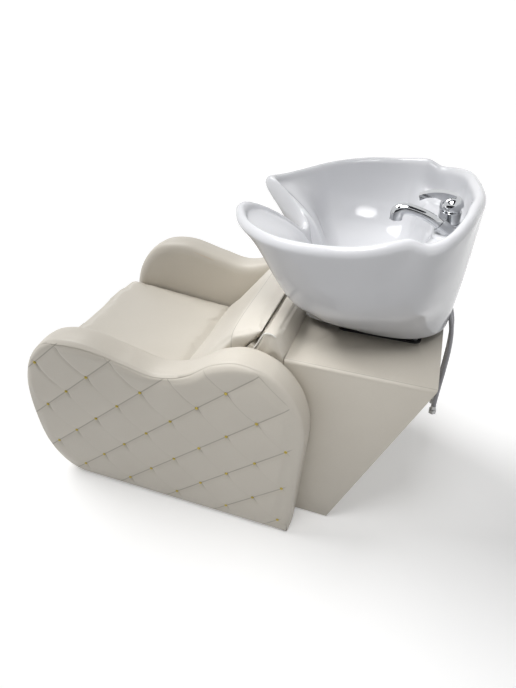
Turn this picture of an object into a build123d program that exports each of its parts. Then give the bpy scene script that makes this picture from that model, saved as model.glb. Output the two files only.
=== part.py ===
from build123d import *
import math
import os

os.makedirs("parts", exist_ok=True)

# Salon backwash unit: a padded seat between two waved, quilted arms, a plinth with a slanted rear behind
# it, and on the plinth a tilting ceramic basin with a single-lever mixer and a pull-out hand shower.
# Millimetres, +Z up, -Y towards the client's feet. The origin is on the floor, on the centre plane.

# Sheet goods, upholstery and shared clearances
ply = 18.0
thin_ply = 15.0
side_pad = 6.0
top_pad = 10.0
soft_gap = 0.3
seat_contact = 0.05
overrun = 10.0
soft_round = 6.0

# Floor glides
glide_height = 5.0
glide_radius = 11.0
arm_glide_shares = [0.24, 0.90]
plinth_glide_inset = 45.0

# Arms
nose_y = -588.0
arm_length = 863.0
arm_height = 594.0
arm_thickness = 92.0
boxing_thickness = 16.0
boxing_round = 9.0
lining_thickness = 4.0
panel_pad = 19.0
panel_inset = 1.5
panel_round = 7.0
spacer_size = 62.0
# Outline of an arm from the front foot, over the nose and both humps, to the rear edge: shares of the
# arm's length behind the nose and of its height above the underside.
arm_outline_shares = [
    (0.148, 0.0),
    (0.070, 0.050),
    (0.022, 0.150),
    (0.000, 0.328),
    (0.012, 0.600),
    (0.063, 0.772),
    (0.146, 0.884),
    (0.266, 0.918),
    (0.423, 0.868),
    (0.531, 0.838),
    (0.635, 0.880),
    (0.728, 0.968),
    (0.809, 1.000),
    (0.900, 0.957),
    (0.965, 0.850),
    (0.994, 0.730),
    (1.000, 0.620),
]
arm_rear_foot_share = 0.966
arm_end_ease_shares = [0.5, 0.5]
spacer_place_shares = [(0.10, 0.40), (0.22, 0.72), (0.30, 0.14), (0.53, 0.66), (0.62, 0.14), (0.80, 0.80), (0.90, 0.42)]

# Quilting of the arms' outer panels: the lattice runs through one stud, by two steps
stud_y = 73.0
stud_z = 500.0
row_step_y = 85.8
row_step_z = 75.2
cross_step_y = 81.3
cross_step_z = 78.2
stud_margin = 24.0
stud_radius = 4.6
stud_height = 4.0
stud_seat_depth = 3.0
stud_sides = 8
stud_crown_share = 0.55
stud_crown_taper = 40.0
channel_width = 9.0
channel_depth = 4.0
cross_channel_width = 5.0
cross_channel_depth = 2.2
channel_margin = 9.0
lattice_reach = 8

# Plinth
plinth_half = 274.0
plinth_top_z = 570.0
plinth_top_length = 365.0
plinth_rear_slant = 216.0
front_board_lean = 75.0
front_foot_setback = 133.0
rail_width = 45.0
rail_thickness = 20.0

# Seat and backrest
seat_overhang = 5.0
seat_depth = 431.0
seat_front_z = 384.0
seat_drop = 42.0
seat_pad = 92.0
seat_round = 20.0
seat_crown = 7.0
seat_nose_inset = 45.0
cushion_seam_gap = 1.5
back_length = 341.0
back_recline = 38.8
back_pad = 50.0
back_crown = 8.0
back_round = 12.0
neck_length = 91.0
backrest_board_start = 50.0
backrest_board_end = 360.0
cushion_width_shares = [-1.0, -0.86, 0.0, 0.86, 1.0]
cushion_swell_shares = [0.0, 0.72, 1.0, 0.72, 0.0]

# Back panel between the backrest and the plinth's top
panel_top_run = 22.5
panel_top_rise = 63.0
panel_lean = 20.0
panel_to_top = 3.0
panel_board_height = 62.0
panel_board_inset = 22.0

# Bolts that hold the arms to the plinth
arm_bolt_radius = 4.0
arm_bolt_head_radius = 7.0
arm_bolt_head = 5.0
bolt_clearance = 0.2
arm_bolt_place_shares = [(0.195, 0.30), (0.52, 0.25), (0.855, 0.25), (0.855, 0.70)]

# Tilting bracket on the plinth's top
basin_setback = 137.0
pivot_setback = 140.0
pivot_height = 30.0
plate = 5.0
ear_plate = 6.0
bracket_half = 102.0
bracket_front = 40.0
bracket_rear = 175.0
bracket_corner = 18.0
ear_half = 66.0
ear_foot = 30.0
lug_radius = 13.0
lug_gap = 1.0
pin_radius = 6.0
pin_head_radius = 10.0
pin_head = 7.0
pin_clearance = 0.08
thread_gap = 0.05
drain_hole_radius = 42.0
drain_hole_lead = 10.0
bracket_bolt_radius = 4.0
bracket_bolt_inset = 16.0
stop_radius = 11.0
stop_half = 64.0
stop_setback = 10.0
stop_gap = 0.3

# Cradle under the basin
cradle_plate = 6.0
cradle_half = 80.0
cradle_front = 52.0
cradle_rear = 166.0
cradle_hole_radius = 46.0
cradle_rise = 14.0
basin_pad = 3.0
boss_radius = 15.0
boss_half = 60.0
boss_front = 32.0
boss_rear = 72.0
boss_bore_depth = 26.0
front_boss_top = 61.0
rear_boss_top = 66.0

# Basin: sections by angle about the waste, from the front notch round to the rear
basin_half_width = 333.0
basin_foot_z = 592.0
basin_height = 348.0
bowl_floor_height = 98.0
basin_wall = 14.0
lip_height = 19.0
waste_hole_radius = 24.0
# Angle, then outer radius, lip's radial width and foot radius as shares of the basin's half width, rim
# height as a share of its height, and how far the tap ledge and the front's steeper foot are formed.
basin_section_shares = [
    (0.0, 0.577, 0.114, 0.399, 0.632, 0.0, 1.0),
    (7.0, 0.589, 0.120, 0.402, 0.638, 0.0, 1.0),
    (12.0, 0.640, 0.156, 0.408, 0.664, 0.0, 1.0),
    (16.5, 0.775, 0.234, 0.417, 0.727, 0.0, 1.0),
    (20.0, 0.916, 0.252, 0.425, 0.787, 0.0, 1.0),
    (24.0, 1.000, 0.186, 0.437, 0.813, 0.0, 1.0),
    (30.0, 1.012, 0.132, 0.461, 0.822, 0.0, 1.0),
    (36.0, 1.008, 0.118, 0.480, 0.829, 0.0, 0.8),
    (45.0, 1.003, 0.114, 0.447, 0.842, 0.0, 0.4),
    (61.0, 1.018, 0.114, 0.393, 0.871, 0.0, 0.0),
    (78.0, 1.015, 0.114, 0.375, 0.899, 0.0, 0.0),
    (94.0, 0.985, 0.114, 0.366, 0.921, 0.0, 0.0),
    (105.0, 0.952, 0.114, 0.381, 0.951, 0.0, 0.0),
    (111.0, 0.934, 0.114, 0.390, 0.960, 0.15, 0.0),
    (117.5, 0.943, 0.114, 0.408, 0.926, 0.60, 0.0),
    (125.0, 0.934, 0.114, 0.432, 0.943, 0.95, 0.0),
    (140.0, 0.847, 0.114, 0.505, 0.986, 1.0, 0.0),
    (158.0, 0.764, 0.114, 0.640, 1.000, 1.0, 0.0),
    (180.0, 0.745, 0.114, 0.703, 0.994, 1.0, 0.0),
]
# Sections further apart than this many degrees get one more between them
section_step = 10.0
middle_share = 0.5
lip_steps = 6
# Bowl from the waste's edge to the lip: shares of the radial reach and of the height, plain and at the ledge
bowl_shares = [(0.30, 0.02), (0.55, 0.08), (0.75, 0.20), (0.88, 0.40), (0.95, 0.62), (0.985, 0.82)]
ledge_shares = [(0.25, 0.02), (0.46, 0.11), (0.57, 0.32), (0.62, 0.60), (0.72, 0.70), (0.985, 0.71)]
# Skirt from the lip down to the foot: shares of the height and of the flare outside the foot
skirt_shares = [(0.78, 0.893), (0.60, 0.795), (0.39, 0.627), (0.28, 0.475), (0.20, 0.35), (0.10, 0.19)]
skirt_front_shares = [(0.78, 0.905), (0.60, 0.81), (0.40, 0.64), (0.28, 0.44), (0.20, 0.15), (0.10, 0.04)]
# Hollow inside the skirt, then under the bowl: shares like those above, plain and at the ledge
hollow_side_shares = (0.36, 0.53)
hollow_side_ledge_shares = (0.70, 0.80)
hollow_side_front_shares = (0.34, 0.42)
hollow_shares = [(0.80, 0.26), (0.68, 0.15), (0.50, 0.065), (0.28, 0.018)]
hollow_ledge_shares = [(0.84, 0.71), (0.70, 0.45), (0.58, 0.15), (0.38, 0.04)]
waste_boss_radius = 42.0
waste_boss_drop = 4.0
hose_notch_half = 42.0
hose_notch_height = 112.0
tap_pad_half_length = 62.0
tap_pad_half_width = 27.0
tap_pad_z = 856.0
tap_pad_depth = 16.0
tap_pad_centre_x = 28.0
tap_recess_margin = 2.0
tap_recess_height = 40.0
notch_corner = 18.0

# Waste and strainer
waste_flange_radius = 34.0
waste_flange = 2.5
waste_bore_radius = 20.0
waste_thread_radius = 23.0
waste_tail_radius = 20.0
waste_tail_bore = 18.0
waste_tail_end = 50.0
waste_cup_radius = 31.0
waste_cup_height = 26.0
seal = 2.0
strainer_radius = 28.0
strainer_plate = 2.0
strainer_spigot = 9.0
strainer_clearance = 0.3
strainer_hole_radius = 2.0
strainer_hole_count = 8
strainer_ring_radius = 12.0
strainer_knob_radius = 3.0
strainer_knob_height = 6.0

# Mixer
mixer_setback = 178.0
mixer_base_radius = 27.5
mixer_base_height = 5.0
mixer_radius = 25.5
mixer_height = 32.0
mixer_bore_radius = 18.0
cartridge_clearance = 0.1
cartridge_height = 24.0
ball_radius = 23.0
ball_rise = 9.0
cap_gap = 0.4
cap_radius = 27.5
cap_cut_angle = 11.0
trunnion_radius = 2.5
trunnion_clearance = 0.1
trunnion_bearing = 2.0
trunnion_wall = 2.5
lever_reach = 77.0
lever_half_width = 12.0
lever_round = 3.0
lever_top = 36.0
# Side view of the blade: shares of its reach ahead of the ball's centre and of its height above it
blade_top_shares = [(-0.09, 0.79), (0.42, 0.93), (1.0, 0.60)]
blade_under_shares = [(0.95, 0.264), (0.49, 0.54), (0.21, 0.264)]
swivel_gap = 0.3
stub_depth = 4.5
mixer_gasket = 1.5
mixer_hole_radius = 17.0
mixer_stud_radius = 3.0
mixer_stud_offset = 12.0
mixer_stud_length = 36.0
mixer_washer = 4.0
mixer_washer_radius = 24.0
hose_hole_radius = 7.5
mixer_nut_radius = 7.0
mixer_nut_height = 6.0

# Hand shower and its holder
shower_x = 60.0
shower_setback = 183.0
shower_lean = 55.0
holder_flange_radius = 18.5
holder_flange = 4.0
holder_radius = 16.5
holder_length = 26.0
holder_bore = 12.3
holder_bore_depth = 14.0
holder_shank_radius = 10.5
holder_shank_length = 34.0
holder_hole_radius = 11.0
holder_nut_radius = 16.0
holder_nut_height = 7.0
handle_radius = 12.0
shower_head_radius = 15.5
spray_face_radius = 12.5
spray_face = 3.0
spray_face_recess = 2.0
# Middle line of the hand shower beyond its holder: forward, up, radius there and the line's rise
shower_route = [
    (28.2, 19.7, 12.0, 35.0),
    (46.0, 30.0, 11.7, 27.0),
    (68.0, 38.5, 11.5, 18.0),
    (88.0, 43.5, 12.0, 9.0),
    (102.0, 45.5, 13.0, -4.0),
    (116.0, 41.5, 14.6, -42.0),
    (122.0, 30.0, 15.5, -80.0),
    (122.5, 19.0, 15.0, -90.0),
]

# Supply hoses
hose_radius = 6.0
ferrule_radius = 7.5
ferrule_length = 14.0
nut_flats = 20.0
nut_length = 13.0
nut_bore = 7.4
nut_bore_depth = 10.0
nut_sides = 6
bend_share = 0.45
hose_route = [
    (8.0, 506.0, 857.5),
    (8.0, 506.0, 790.0),
    (13.0, 522.0, 722.0),
    (18.0, 547.0, 660.0),
    (22.0, 574.0, 600.0),
    (23.0, 583.0, 530.0),
    (22.5, 584.0, 450.0),
    (22.5, 583.0, 372.0),
    (22.5, 583.0, 300.0),
]

# Values that follow from the sizes above
base_z = glide_height
arm_outer_x = plinth_half + arm_thickness
seat_front_y = nose_y - seat_overhang
seat_rear_y = seat_front_y + seat_depth
seat_rear_z = seat_front_z - seat_drop
lean = math.radians(back_recline)


def back_point(along, depth):
    """A point in the side view, up the backrest's slope and behind its front face."""
    y = seat_rear_y + along * math.sin(lean) + depth * math.cos(lean)
    z = seat_rear_z + along * math.cos(lean) - depth * math.sin(lean)
    return (y, z)


def back_along(z, depth):
    """How far up the backrest's slope a plane behind its front face reaches a height."""
    return (z - seat_rear_z + depth * math.sin(lean)) / math.cos(lean)


board_depth = back_pad + thin_ply
neck_top_y, neck_top_z = back_point(back_length + neck_length, back_pad)
panel_front_y = neck_top_y - soft_gap
panel_rear_y = panel_front_y + panel_top_run + panel_lean
plinth_top_y = panel_rear_y + panel_to_top
plinth_rear_y = plinth_top_y + plinth_top_length
plinth_foot_y = plinth_rear_y - plinth_rear_slant
front_foot_y = nose_y + front_foot_setback
side_outer = plinth_half - side_pad
side_inner = side_outer - ply
board_top_z = plinth_top_z - top_pad
side_top_z = board_top_z - ply
basin_y = plinth_top_y + basin_setback
pivot_y = basin_y + pivot_setback
pivot_z = plinth_top_z + pivot_height


def seat_top(y):
    """Height of the seat's sloping top at a place along it."""
    return seat_front_z - seat_drop * (y - seat_front_y) / seat_depth


def rear_line(z, depth=0.0):
    """The slanted rear face in the side view, or a plane square to it and inside it."""
    rise = plinth_top_z - base_z
    slope = plinth_rear_slant / rise
    return plinth_rear_y - (plinth_top_z - z) * slope - depth * math.hypot(1.0, slope)


def arm_point(y_share, z_share):
    """A point of the arm's side view from its shares."""
    return (nose_y + y_share * arm_length, base_z + z_share * arm_height)


arm_outline = [arm_point(*share) for share in arm_outline_shares]
arm_rear_foot = arm_point(arm_rear_foot_share, 0.0)


def plinth_outline(rear_depth, top_z):
    """Side view of the plinth under the seat, up behind the backrest and down the slanted rear."""
    seat_under = seat_pad + ply
    front_top = front_foot_y - front_board_lean
    low = (seat_rear_y, seat_top(seat_rear_y) - seat_under)
    riser_low = back_point(back_along(low[1] + ply, board_depth), board_depth)
    riser_high = back_point(back_along(side_top_z, board_depth), board_depth)
    points = [
        (front_foot_y, base_z),
        (front_top, seat_top(front_top) - seat_under),
        low,
        riser_low,
        riser_high,
    ]
    if top_z > side_top_z:
        points += [(plinth_top_y, side_top_z), (plinth_top_y, top_z)]
    points += [(rear_line(top_z, rear_depth), top_z), (rear_line(base_z, rear_depth), base_z)]
    return points


bolt_places = [arm_point(*share) for share in arm_bolt_place_shares]

# Plinth sides: two plywood profile boards that carry seat, backrest, top and arms
for side, sign in (("left", 1), ("right", -1)):
    with BuildPart() as plinth_side:
        with BuildSketch(Plane.YZ.offset(sign * side_inner)):
            with BuildLine():
                Polyline(*plinth_outline(side_pad, side_top_z), close=True)
            make_face()
            with Locations(*bolt_places):
                Circle(arm_bolt_radius + bolt_clearance, mode=Mode.SUBTRACT)
        extrude(amount=sign * ply)
    plinth_side.part.label = f"plinth_{side}_side"
    export_step(plinth_side.part, f"parts/plinth_{side}_side.step")

# Padded covers outside the plinth's sides
for side, sign in (("left", 1), ("right", -1)):
    with BuildPart() as side_cover:
        with BuildSketch(Plane.YZ.offset(sign * side_outer)):
            with BuildLine():
                Polyline(*plinth_outline(0.0, board_top_z), close=True)
            make_face()
            with Locations(*bolt_places):
                Circle(arm_bolt_radius + bolt_clearance, mode=Mode.SUBTRACT)
        extrude(amount=sign * side_pad)
    side_cover.part.label = f"plinth_{side}_cover"
    export_step(side_cover.part, f"parts/plinth_{side}_cover.step")

# Board and padded cover of the slanted rear
with BuildPart() as rear_board:
    with BuildSketch(Plane.YZ.offset(-side_inner)):
        with BuildLine():
            Polyline(
                (rear_line(base_z, side_pad), base_z),
                (rear_line(side_top_z, side_pad), side_top_z),
                (rear_line(side_top_z, side_pad + ply), side_top_z),
                (rear_line(base_z, side_pad + ply), base_z),
                close=True,
            )
        make_face()
    extrude(amount=2 * side_inner)
rear_board.part.label = "plinth_rear_board"
export_step(rear_board.part, "parts/plinth_rear_board.step")

with BuildPart() as rear_cover:
    with BuildSketch(Plane.YZ.offset(-side_outer)):
        with BuildLine():
            Polyline(
                (rear_line(base_z), base_z),
                (rear_line(board_top_z), board_top_z),
                (rear_line(board_top_z, side_pad), board_top_z),
                (rear_line(base_z, side_pad), base_z),
                close=True,
            )
        make_face()
    extrude(amount=2 * side_outer)
rear_cover.part.label = "plinth_rear_cover"
export_step(rear_cover.part, "parts/plinth_rear_cover.step")

# Front board under the seat
front_top_y = front_foot_y - front_board_lean
front_top_z = seat_top(front_top_y) - seat_pad - ply
with BuildPart() as front_board:
    with BuildSketch(Plane.YZ.offset(-side_outer)):
        with BuildLine():
            Polyline(
                (front_foot_y, base_z),
                (front_top_y, front_top_z),
                (front_top_y - ply, front_top_z),
                (front_foot_y - ply, base_z),
                close=True,
            )
        make_face()
    extrude(amount=2 * side_outer)
front_board.part.label = "plinth_front_board"
export_step(front_board.part, "parts/plinth_front_board.step")

# Cross rails between the sides
rail_places = [
    (front_foot_y + rail_width, base_z),
    (front_top_y + 2 * rail_width, front_top_z - 3 * rail_width),
    (seat_rear_y - rail_width, seat_top(seat_rear_y) - seat_pad - ply - 2 * rail_thickness),
    (plinth_foot_y - 2 * rail_width, base_z),
    (plinth_top_y - rail_width - rail_thickness, side_top_z - rail_thickness),
    (plinth_rear_y - 3 * rail_width, side_top_z - rail_thickness),
]
with BuildPart() as cross_rails:
    with BuildSketch(Plane.YZ.offset(-side_inner)):
        with Locations(*rail_places):
            Rectangle(rail_width, rail_thickness, align=(Align.CENTER, Align.MIN))
    extrude(amount=2 * side_inner)
cross_rails.part.label = "plinth_cross_rails"
export_step(cross_rails.part, "parts/plinth_cross_rails.step")

# Top board and its padded cover, both with the drain hole and the bracket's bolt holes
drain_y = basin_y - drain_hole_lead
bracket_centre_y = basin_y + (bracket_rear - bracket_front) / 2
bolt_span_x = 2 * (bracket_half - bracket_bolt_inset)
bolt_span_y = bracket_front + bracket_rear - 2 * bracket_bolt_inset
with BuildPart() as top_board:
    with BuildSketch(Plane.XY.offset(side_top_z)):
        with Locations((0, (plinth_top_y + rear_line(side_top_z, side_pad)) / 2)):
            Rectangle(2 * side_outer, rear_line(side_top_z, side_pad) - plinth_top_y)
        with Locations((0, drain_y)):
            Circle(drain_hole_radius, mode=Mode.SUBTRACT)
        with Locations((0, bracket_centre_y)):
            with GridLocations(bolt_span_x, bolt_span_y, 2, 2):
                Circle(bracket_bolt_radius + bolt_clearance, mode=Mode.SUBTRACT)
    extrude(amount=ply)
top_board.part.label = "plinth_top_board"
export_step(top_board.part, "parts/plinth_top_board.step")

with BuildPart() as top_cover:
    with BuildSketch(Plane.YZ.offset(-plinth_half)):
        with BuildLine():
            Polyline(
                (plinth_top_y, board_top_z),
                (plinth_top_y, plinth_top_z),
                (plinth_rear_y, plinth_top_z),
                (rear_line(board_top_z), board_top_z),
                close=True,
            )
        make_face()
    extrude(amount=2 * plinth_half)
    top_edges = top_cover.edges().group_by(Axis.Z)[-1].filter_by(Axis.Y)
    fillet(top_edges, radius=top_pad - seat_contact - soft_gap)
    with BuildSketch(Plane.XY.offset(board_top_z)):
        with Locations((0, drain_y)):
            Circle(drain_hole_radius)
        with Locations((0, bracket_centre_y)):
            with GridLocations(bolt_span_x, bolt_span_y, 2, 2):
                Circle(bracket_bolt_radius + bolt_clearance)
    extrude(amount=top_pad, mode=Mode.SUBTRACT)
top_cover.part.label = "plinth_top_cover"
export_step(top_cover.part, "parts/plinth_top_cover.step")

# Seat board and seat cushion
board_front_y = seat_front_y + seat_nose_inset
with BuildPart() as seat_board:
    with BuildSketch(Plane.YZ.offset(-side_outer)):
        with BuildLine():
            Polyline(
                (board_front_y, seat_top(board_front_y) - seat_pad),
                (seat_rear_y, seat_top(seat_rear_y) - seat_pad),
                (seat_rear_y, seat_top(seat_rear_y) - seat_pad - ply),
                (board_front_y, seat_top(board_front_y) - seat_pad - ply),
                close=True,
            )
        make_face()
    extrude(amount=2 * side_outer)
seat_board.part.label = "seat_board"
export_step(seat_board.part, "parts/seat_board.step")

cushion_half = plinth_half - soft_gap
with BuildPart() as seat_cushion:
    for width_share, swell_share in zip(cushion_width_shares, cushion_swell_shares):
        swell = seat_crown * swell_share
        front_y = seat_front_y + seat_crown - swell
        with BuildSketch(Plane.YZ.offset(cushion_half * width_share)):
            with BuildLine():
                Polyline(
                    (front_y, seat_top(front_y) - seat_pad + soft_gap),
                    (front_y, seat_top(front_y) - seat_crown + swell),
                    (seat_rear_y - soft_gap, seat_top(seat_rear_y) - seat_crown + swell),
                    (seat_rear_y - soft_gap, seat_top(seat_rear_y) - seat_pad + soft_gap),
                    close=True,
                )
            cushion_face = make_face()
            corners = cushion_face.vertices().sort_by(Axis.Y)[:2]
            fillet(corners, radius=seat_round)
    loft()
seat_cushion.part.label = "seat_cushion"
export_step(seat_cushion.part, "parts/seat_cushion.step")

# Backrest board and cushion, both leaning on the plinth's risers
with BuildPart() as backrest_board:
    with BuildSketch(Plane.YZ.offset(-side_outer)):
        with BuildLine():
            Polyline(
                back_point(-backrest_board_start, back_pad),
                back_point(backrest_board_end, back_pad),
                back_point(backrest_board_end, board_depth),
                back_point(-backrest_board_start, board_depth),
                close=True,
            )
        make_face()
    extrude(amount=2 * side_outer)
backrest_board.part.label = "backrest_board"
export_step(backrest_board.part, "parts/backrest_board.step")

with BuildPart() as backrest_cushion:
    for width_share, swell_share in zip(cushion_width_shares, cushion_swell_shares):
        swell = back_crown * swell_share
        with BuildSketch(Plane.YZ.offset(cushion_half * width_share)):
            with BuildLine():
                Polyline(
                    back_point(cushion_seam_gap, back_crown - swell),
                    back_point(back_length, back_crown - swell),
                    back_point(back_length + neck_length - back_crown + swell, back_pad - soft_gap),
                    back_point(cushion_seam_gap, back_pad - soft_gap),
                    close=True,
                )
            cushion_face = make_face()
            corners = cushion_face.vertices().sort_by(Axis.Z)[-2:]
            fillet(corners, radius=back_round)
    loft()
backrest_cushion.part.label = "backrest_cushion"
export_step(backrest_cushion.part, "parts/backrest_cushion.step")

# Back panel: a padded wedge on its own board, behind the backrest
panel_base = back_point(back_along(side_top_z, board_depth + soft_gap), board_depth + soft_gap)
panel_knee = back_point(backrest_board_end + soft_gap, board_depth + soft_gap)
panel_brow = back_point(back_length + neck_length - back_round, back_pad + soft_gap)
panel_top_z = plinth_top_z + panel_top_rise + panel_to_top
panel_board_y = panel_rear_y - panel_board_inset
with BuildPart() as back_panel:
    with BuildSketch(Plane.YZ.offset(-cushion_half)):
        with BuildLine():
            Polyline(
                panel_base,
                panel_knee,
                panel_brow,
                (panel_rear_y - panel_lean, panel_top_z),
                (panel_rear_y, plinth_top_z),
                (panel_rear_y, side_top_z),
                close=True,
            )
        panel_face = make_face()
        fillet(panel_face.vertices().sort_by(Axis.Z)[-2:], radius=soft_round)
    extrude(amount=2 * cushion_half)
    with BuildSketch(Plane.YZ.offset(-side_outer)):
        with Locations((panel_board_y, side_top_z)):
            Rectangle(thin_ply, panel_board_height, align=(Align.CENTER, Align.MIN))
    extrude(amount=2 * side_outer, mode=Mode.SUBTRACT)
back_panel.part.label = "back_panel"
export_step(back_panel.part, "parts/back_panel.step")

with BuildPart() as back_panel_board:
    with BuildSketch(Plane.YZ.offset(-side_outer)):
        with Locations((panel_board_y, side_top_z)):
            Rectangle(thin_ply, panel_board_height, align=(Align.CENTER, Align.MIN))
    extrude(amount=2 * side_outer)
back_panel_board.part.label = "back_panel_board"
export_step(back_panel_board.part, "parts/back_panel_board.step")


def arm_face(inset):
    """The arm's side view, drawn in by an inset, as a flat face."""
    foot_y, foot_z = arm_rear_foot
    end_y, end_z = arm_outline[-1]
    rear_way = Vector(foot_y - end_y, foot_z - end_z).normalized()
    neighbours = [(end_y, foot_z), *arm_outline, arm_rear_foot]
    points = []
    for low, point, high in zip(neighbours, arm_outline, neighbours[2:]):
        way = Vector(high[0] - low[0], high[1] - low[1]).normalized()
        if point is arm_outline[0]:
            way = Vector(-1, 0)
        if point is arm_outline[-1]:
            way = rear_way
        points.append((point[0] + inset * way.Y, point[1] - inset * way.X))
    down = (foot_z + inset - points[-1][1]) / rear_way.Y
    foot = (points[-1][0] + down * rear_way.X, foot_z + inset)
    with BuildSketch() as face:
        with BuildLine():
            wave = Spline(*points, tangents=[(-1, 0), (rear_way.X, rear_way.Y)], tangent_scalars=arm_end_ease_shares)
            Polyline(wave @ 1, foot, wave @ 0)
        make_face()
    return face.sketch


# Lattice places inside the panel, where a stud holds the quilting down
stud_field = arm_face(stud_margin)
stud_places = []
for i in range(-lattice_reach, lattice_reach + 1):
    for j in range(-lattice_reach, lattice_reach + 1):
        y = stud_y + i * row_step_y + j * cross_step_y
        z = stud_z + i * row_step_z - j * cross_step_z
        if stud_field.face().is_inside(Vector(y, z)):
            stud_places.append((y, z))
print("studs on each arm", len(stud_places))

lining_x = plinth_half + soft_gap
inner_board_x = lining_x + lining_thickness
spacer_x = inner_board_x + thin_ply
panel_x = arm_outer_x - panel_pad
outer_board_x = panel_x - thin_ply


def channel(step_y, step_z, across_y, across_z, index, width, depth):
    """Triangular cutter along one sewn line of the quilting, as a sketch swept across the panel."""
    length = 2 * (arm_length + arm_height)
    middle_y = stud_y + index * across_y
    middle_z = stud_z + index * across_z
    line = Plane(
        origin=(arm_outer_x, middle_y - length / 2 * step_y, middle_z - length / 2 * step_z),
        x_dir=(1, 0, 0),
        z_dir=(0, step_y, step_z),
    )
    with BuildPart() as cutter:
        with BuildSketch(line):
            with BuildLine():
                Polyline(
                    (overrun, width / 2),
                    (0, width / 2),
                    (-depth, 0),
                    (0, -width / 2),
                    (overrun, -width / 2),
                    close=True,
                )
            make_face()
        extrude(amount=length)
    return cutter.part


row_length = math.hypot(row_step_y, row_step_z)
cross_length = math.hypot(cross_step_y, cross_step_z)
channels = []
for index in range(-lattice_reach, lattice_reach + 1):
    channels.append(
        channel(
            row_step_y / row_length,
            row_step_z / row_length,
            cross_step_y,
            -cross_step_z,
            index,
            channel_width,
            channel_depth,
        )
    )
    channels.append(
        channel(
            cross_step_y / cross_length,
            -cross_step_z / cross_length,
            row_step_y,
            row_step_z,
            index,
            cross_channel_width,
            cross_channel_depth,
        )
    )

# Left arm: lining, plywood box with spacers, padded boxing, quilted panel and studs
with BuildPart() as arm_lining:
    with BuildSketch(Plane.YZ.offset(lining_x)):
        add(arm_face(boxing_thickness))
    extrude(amount=lining_thickness)
    with BuildSketch(Plane.YZ.offset(lining_x)):
        with Locations(*bolt_places):
            Circle(arm_bolt_radius + bolt_clearance)
    extrude(amount=lining_thickness, mode=Mode.SUBTRACT)

with BuildPart() as arm_inner_board:
    with BuildSketch(Plane.YZ.offset(inner_board_x)):
        add(arm_face(boxing_thickness))
    extrude(amount=thin_ply)
    with BuildSketch(Plane.YZ.offset(inner_board_x)):
        with Locations(*bolt_places):
            Circle(arm_bolt_radius + bolt_clearance)
    extrude(amount=thin_ply, mode=Mode.SUBTRACT)

with BuildPart() as arm_outer_board:
    with BuildSketch(Plane.YZ.offset(outer_board_x)):
        add(arm_face(boxing_thickness))
    extrude(amount=thin_ply)

with BuildPart() as arm_boxing:
    with BuildSketch(Plane.YZ.offset(lining_x)):
        add(arm_face(0))
    extrude(amount=panel_x - lining_x)
    inner_edges = arm_boxing.faces().filter_by(Axis.X).sort_by(Axis.X)[0].edges()
    fillet(inner_edges, radius=boxing_round)
    with BuildSketch(Plane.YZ.offset(lining_x)):
        add(arm_face(boxing_thickness))
    extrude(amount=panel_x - lining_x, mode=Mode.SUBTRACT)

with BuildPart() as arm_panel:
    with BuildSketch(Plane.YZ.offset(panel_x)):
        add(arm_face(panel_inset))
    extrude(amount=panel_pad)
    rim_edges = arm_panel.faces().filter_by(Axis.X).sort_by(Axis.X)[-1].edges()
    fillet(rim_edges, radius=panel_round)

with BuildPart() as quilting:
    with BuildSketch(Plane.YZ.offset(panel_x)):
        add(arm_face(panel_inset + channel_margin))
    extrude(amount=panel_pad + overrun)
quilted = quilting.part & (channels[0] + channels[1:])

with BuildPart() as arm_quilted_panel:
    add(arm_panel.part)
    add(quilted, mode=Mode.SUBTRACT)
    with BuildSketch(Plane.YZ.offset(arm_outer_x - stud_seat_depth)):
        with Locations(*stud_places):
            RegularPolygon(stud_radius + soft_gap, stud_sides)
    extrude(amount=stud_seat_depth + overrun, mode=Mode.SUBTRACT)

with BuildPart() as arm_studs:
    with BuildSketch(Plane.YZ.offset(arm_outer_x - stud_seat_depth)):
        with Locations(*stud_places):
            RegularPolygon(stud_radius, stud_sides)
    extrude(amount=stud_seat_depth + stud_height * (1 - stud_crown_share))
    with BuildSketch(Plane.YZ.offset(arm_outer_x + stud_height * (1 - stud_crown_share))):
        with Locations(*stud_places):
            RegularPolygon(stud_radius, stud_sides)
    extrude(amount=stud_height * stud_crown_share, taper=stud_crown_taper)

arm_pieces = [
    ("lining", arm_lining),
    ("inner_board", arm_inner_board),
    ("outer_board", arm_outer_board),
    ("boxing", arm_boxing),
    ("quilted_panel", arm_quilted_panel),
    ("studs", arm_studs),
]
for piece, left_piece in arm_pieces:
    left_piece.part.label = f"arm_left_{piece}"
    export_step(left_piece.part, f"parts/arm_left_{piece}.step")
    with BuildPart() as right_piece:
        mirror(left_piece.part, about=Plane.YZ)
    right_piece.part.label = f"arm_right_{piece}"
    export_step(right_piece.part, f"parts/arm_right_{piece}.step")

# Timber spacers between the boards of both arms
with BuildPart() as arm_spacers:
    with BuildSketch(Plane.YZ.offset(spacer_x)):
        with Locations(*[arm_point(*share) for share in spacer_place_shares]):
            Rectangle(spacer_size, spacer_size)
    extrude(amount=outer_board_x - spacer_x)
    mirror(about=Plane.YZ)
arm_spacers.part.label = "arm_spacers"
export_step(arm_spacers.part, "parts/arm_spacers.step")

# Bolts from inside the plinth into the arms
with BuildPart() as arm_bolts:
    with BuildSketch(Plane.YZ.offset(side_inner - arm_bolt_head)):
        with Locations(*bolt_places):
            Circle(arm_bolt_head_radius)
    extrude(amount=arm_bolt_head)
    with BuildSketch(Plane.YZ.offset(side_inner)):
        with Locations(*bolt_places):
            Circle(arm_bolt_radius)
    extrude(amount=spacer_x - side_inner)
    mirror(about=Plane.YZ)
arm_bolts.part.label = "arm_bolts"
export_step(arm_bolts.part, "parts/arm_bolts.step")

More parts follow.
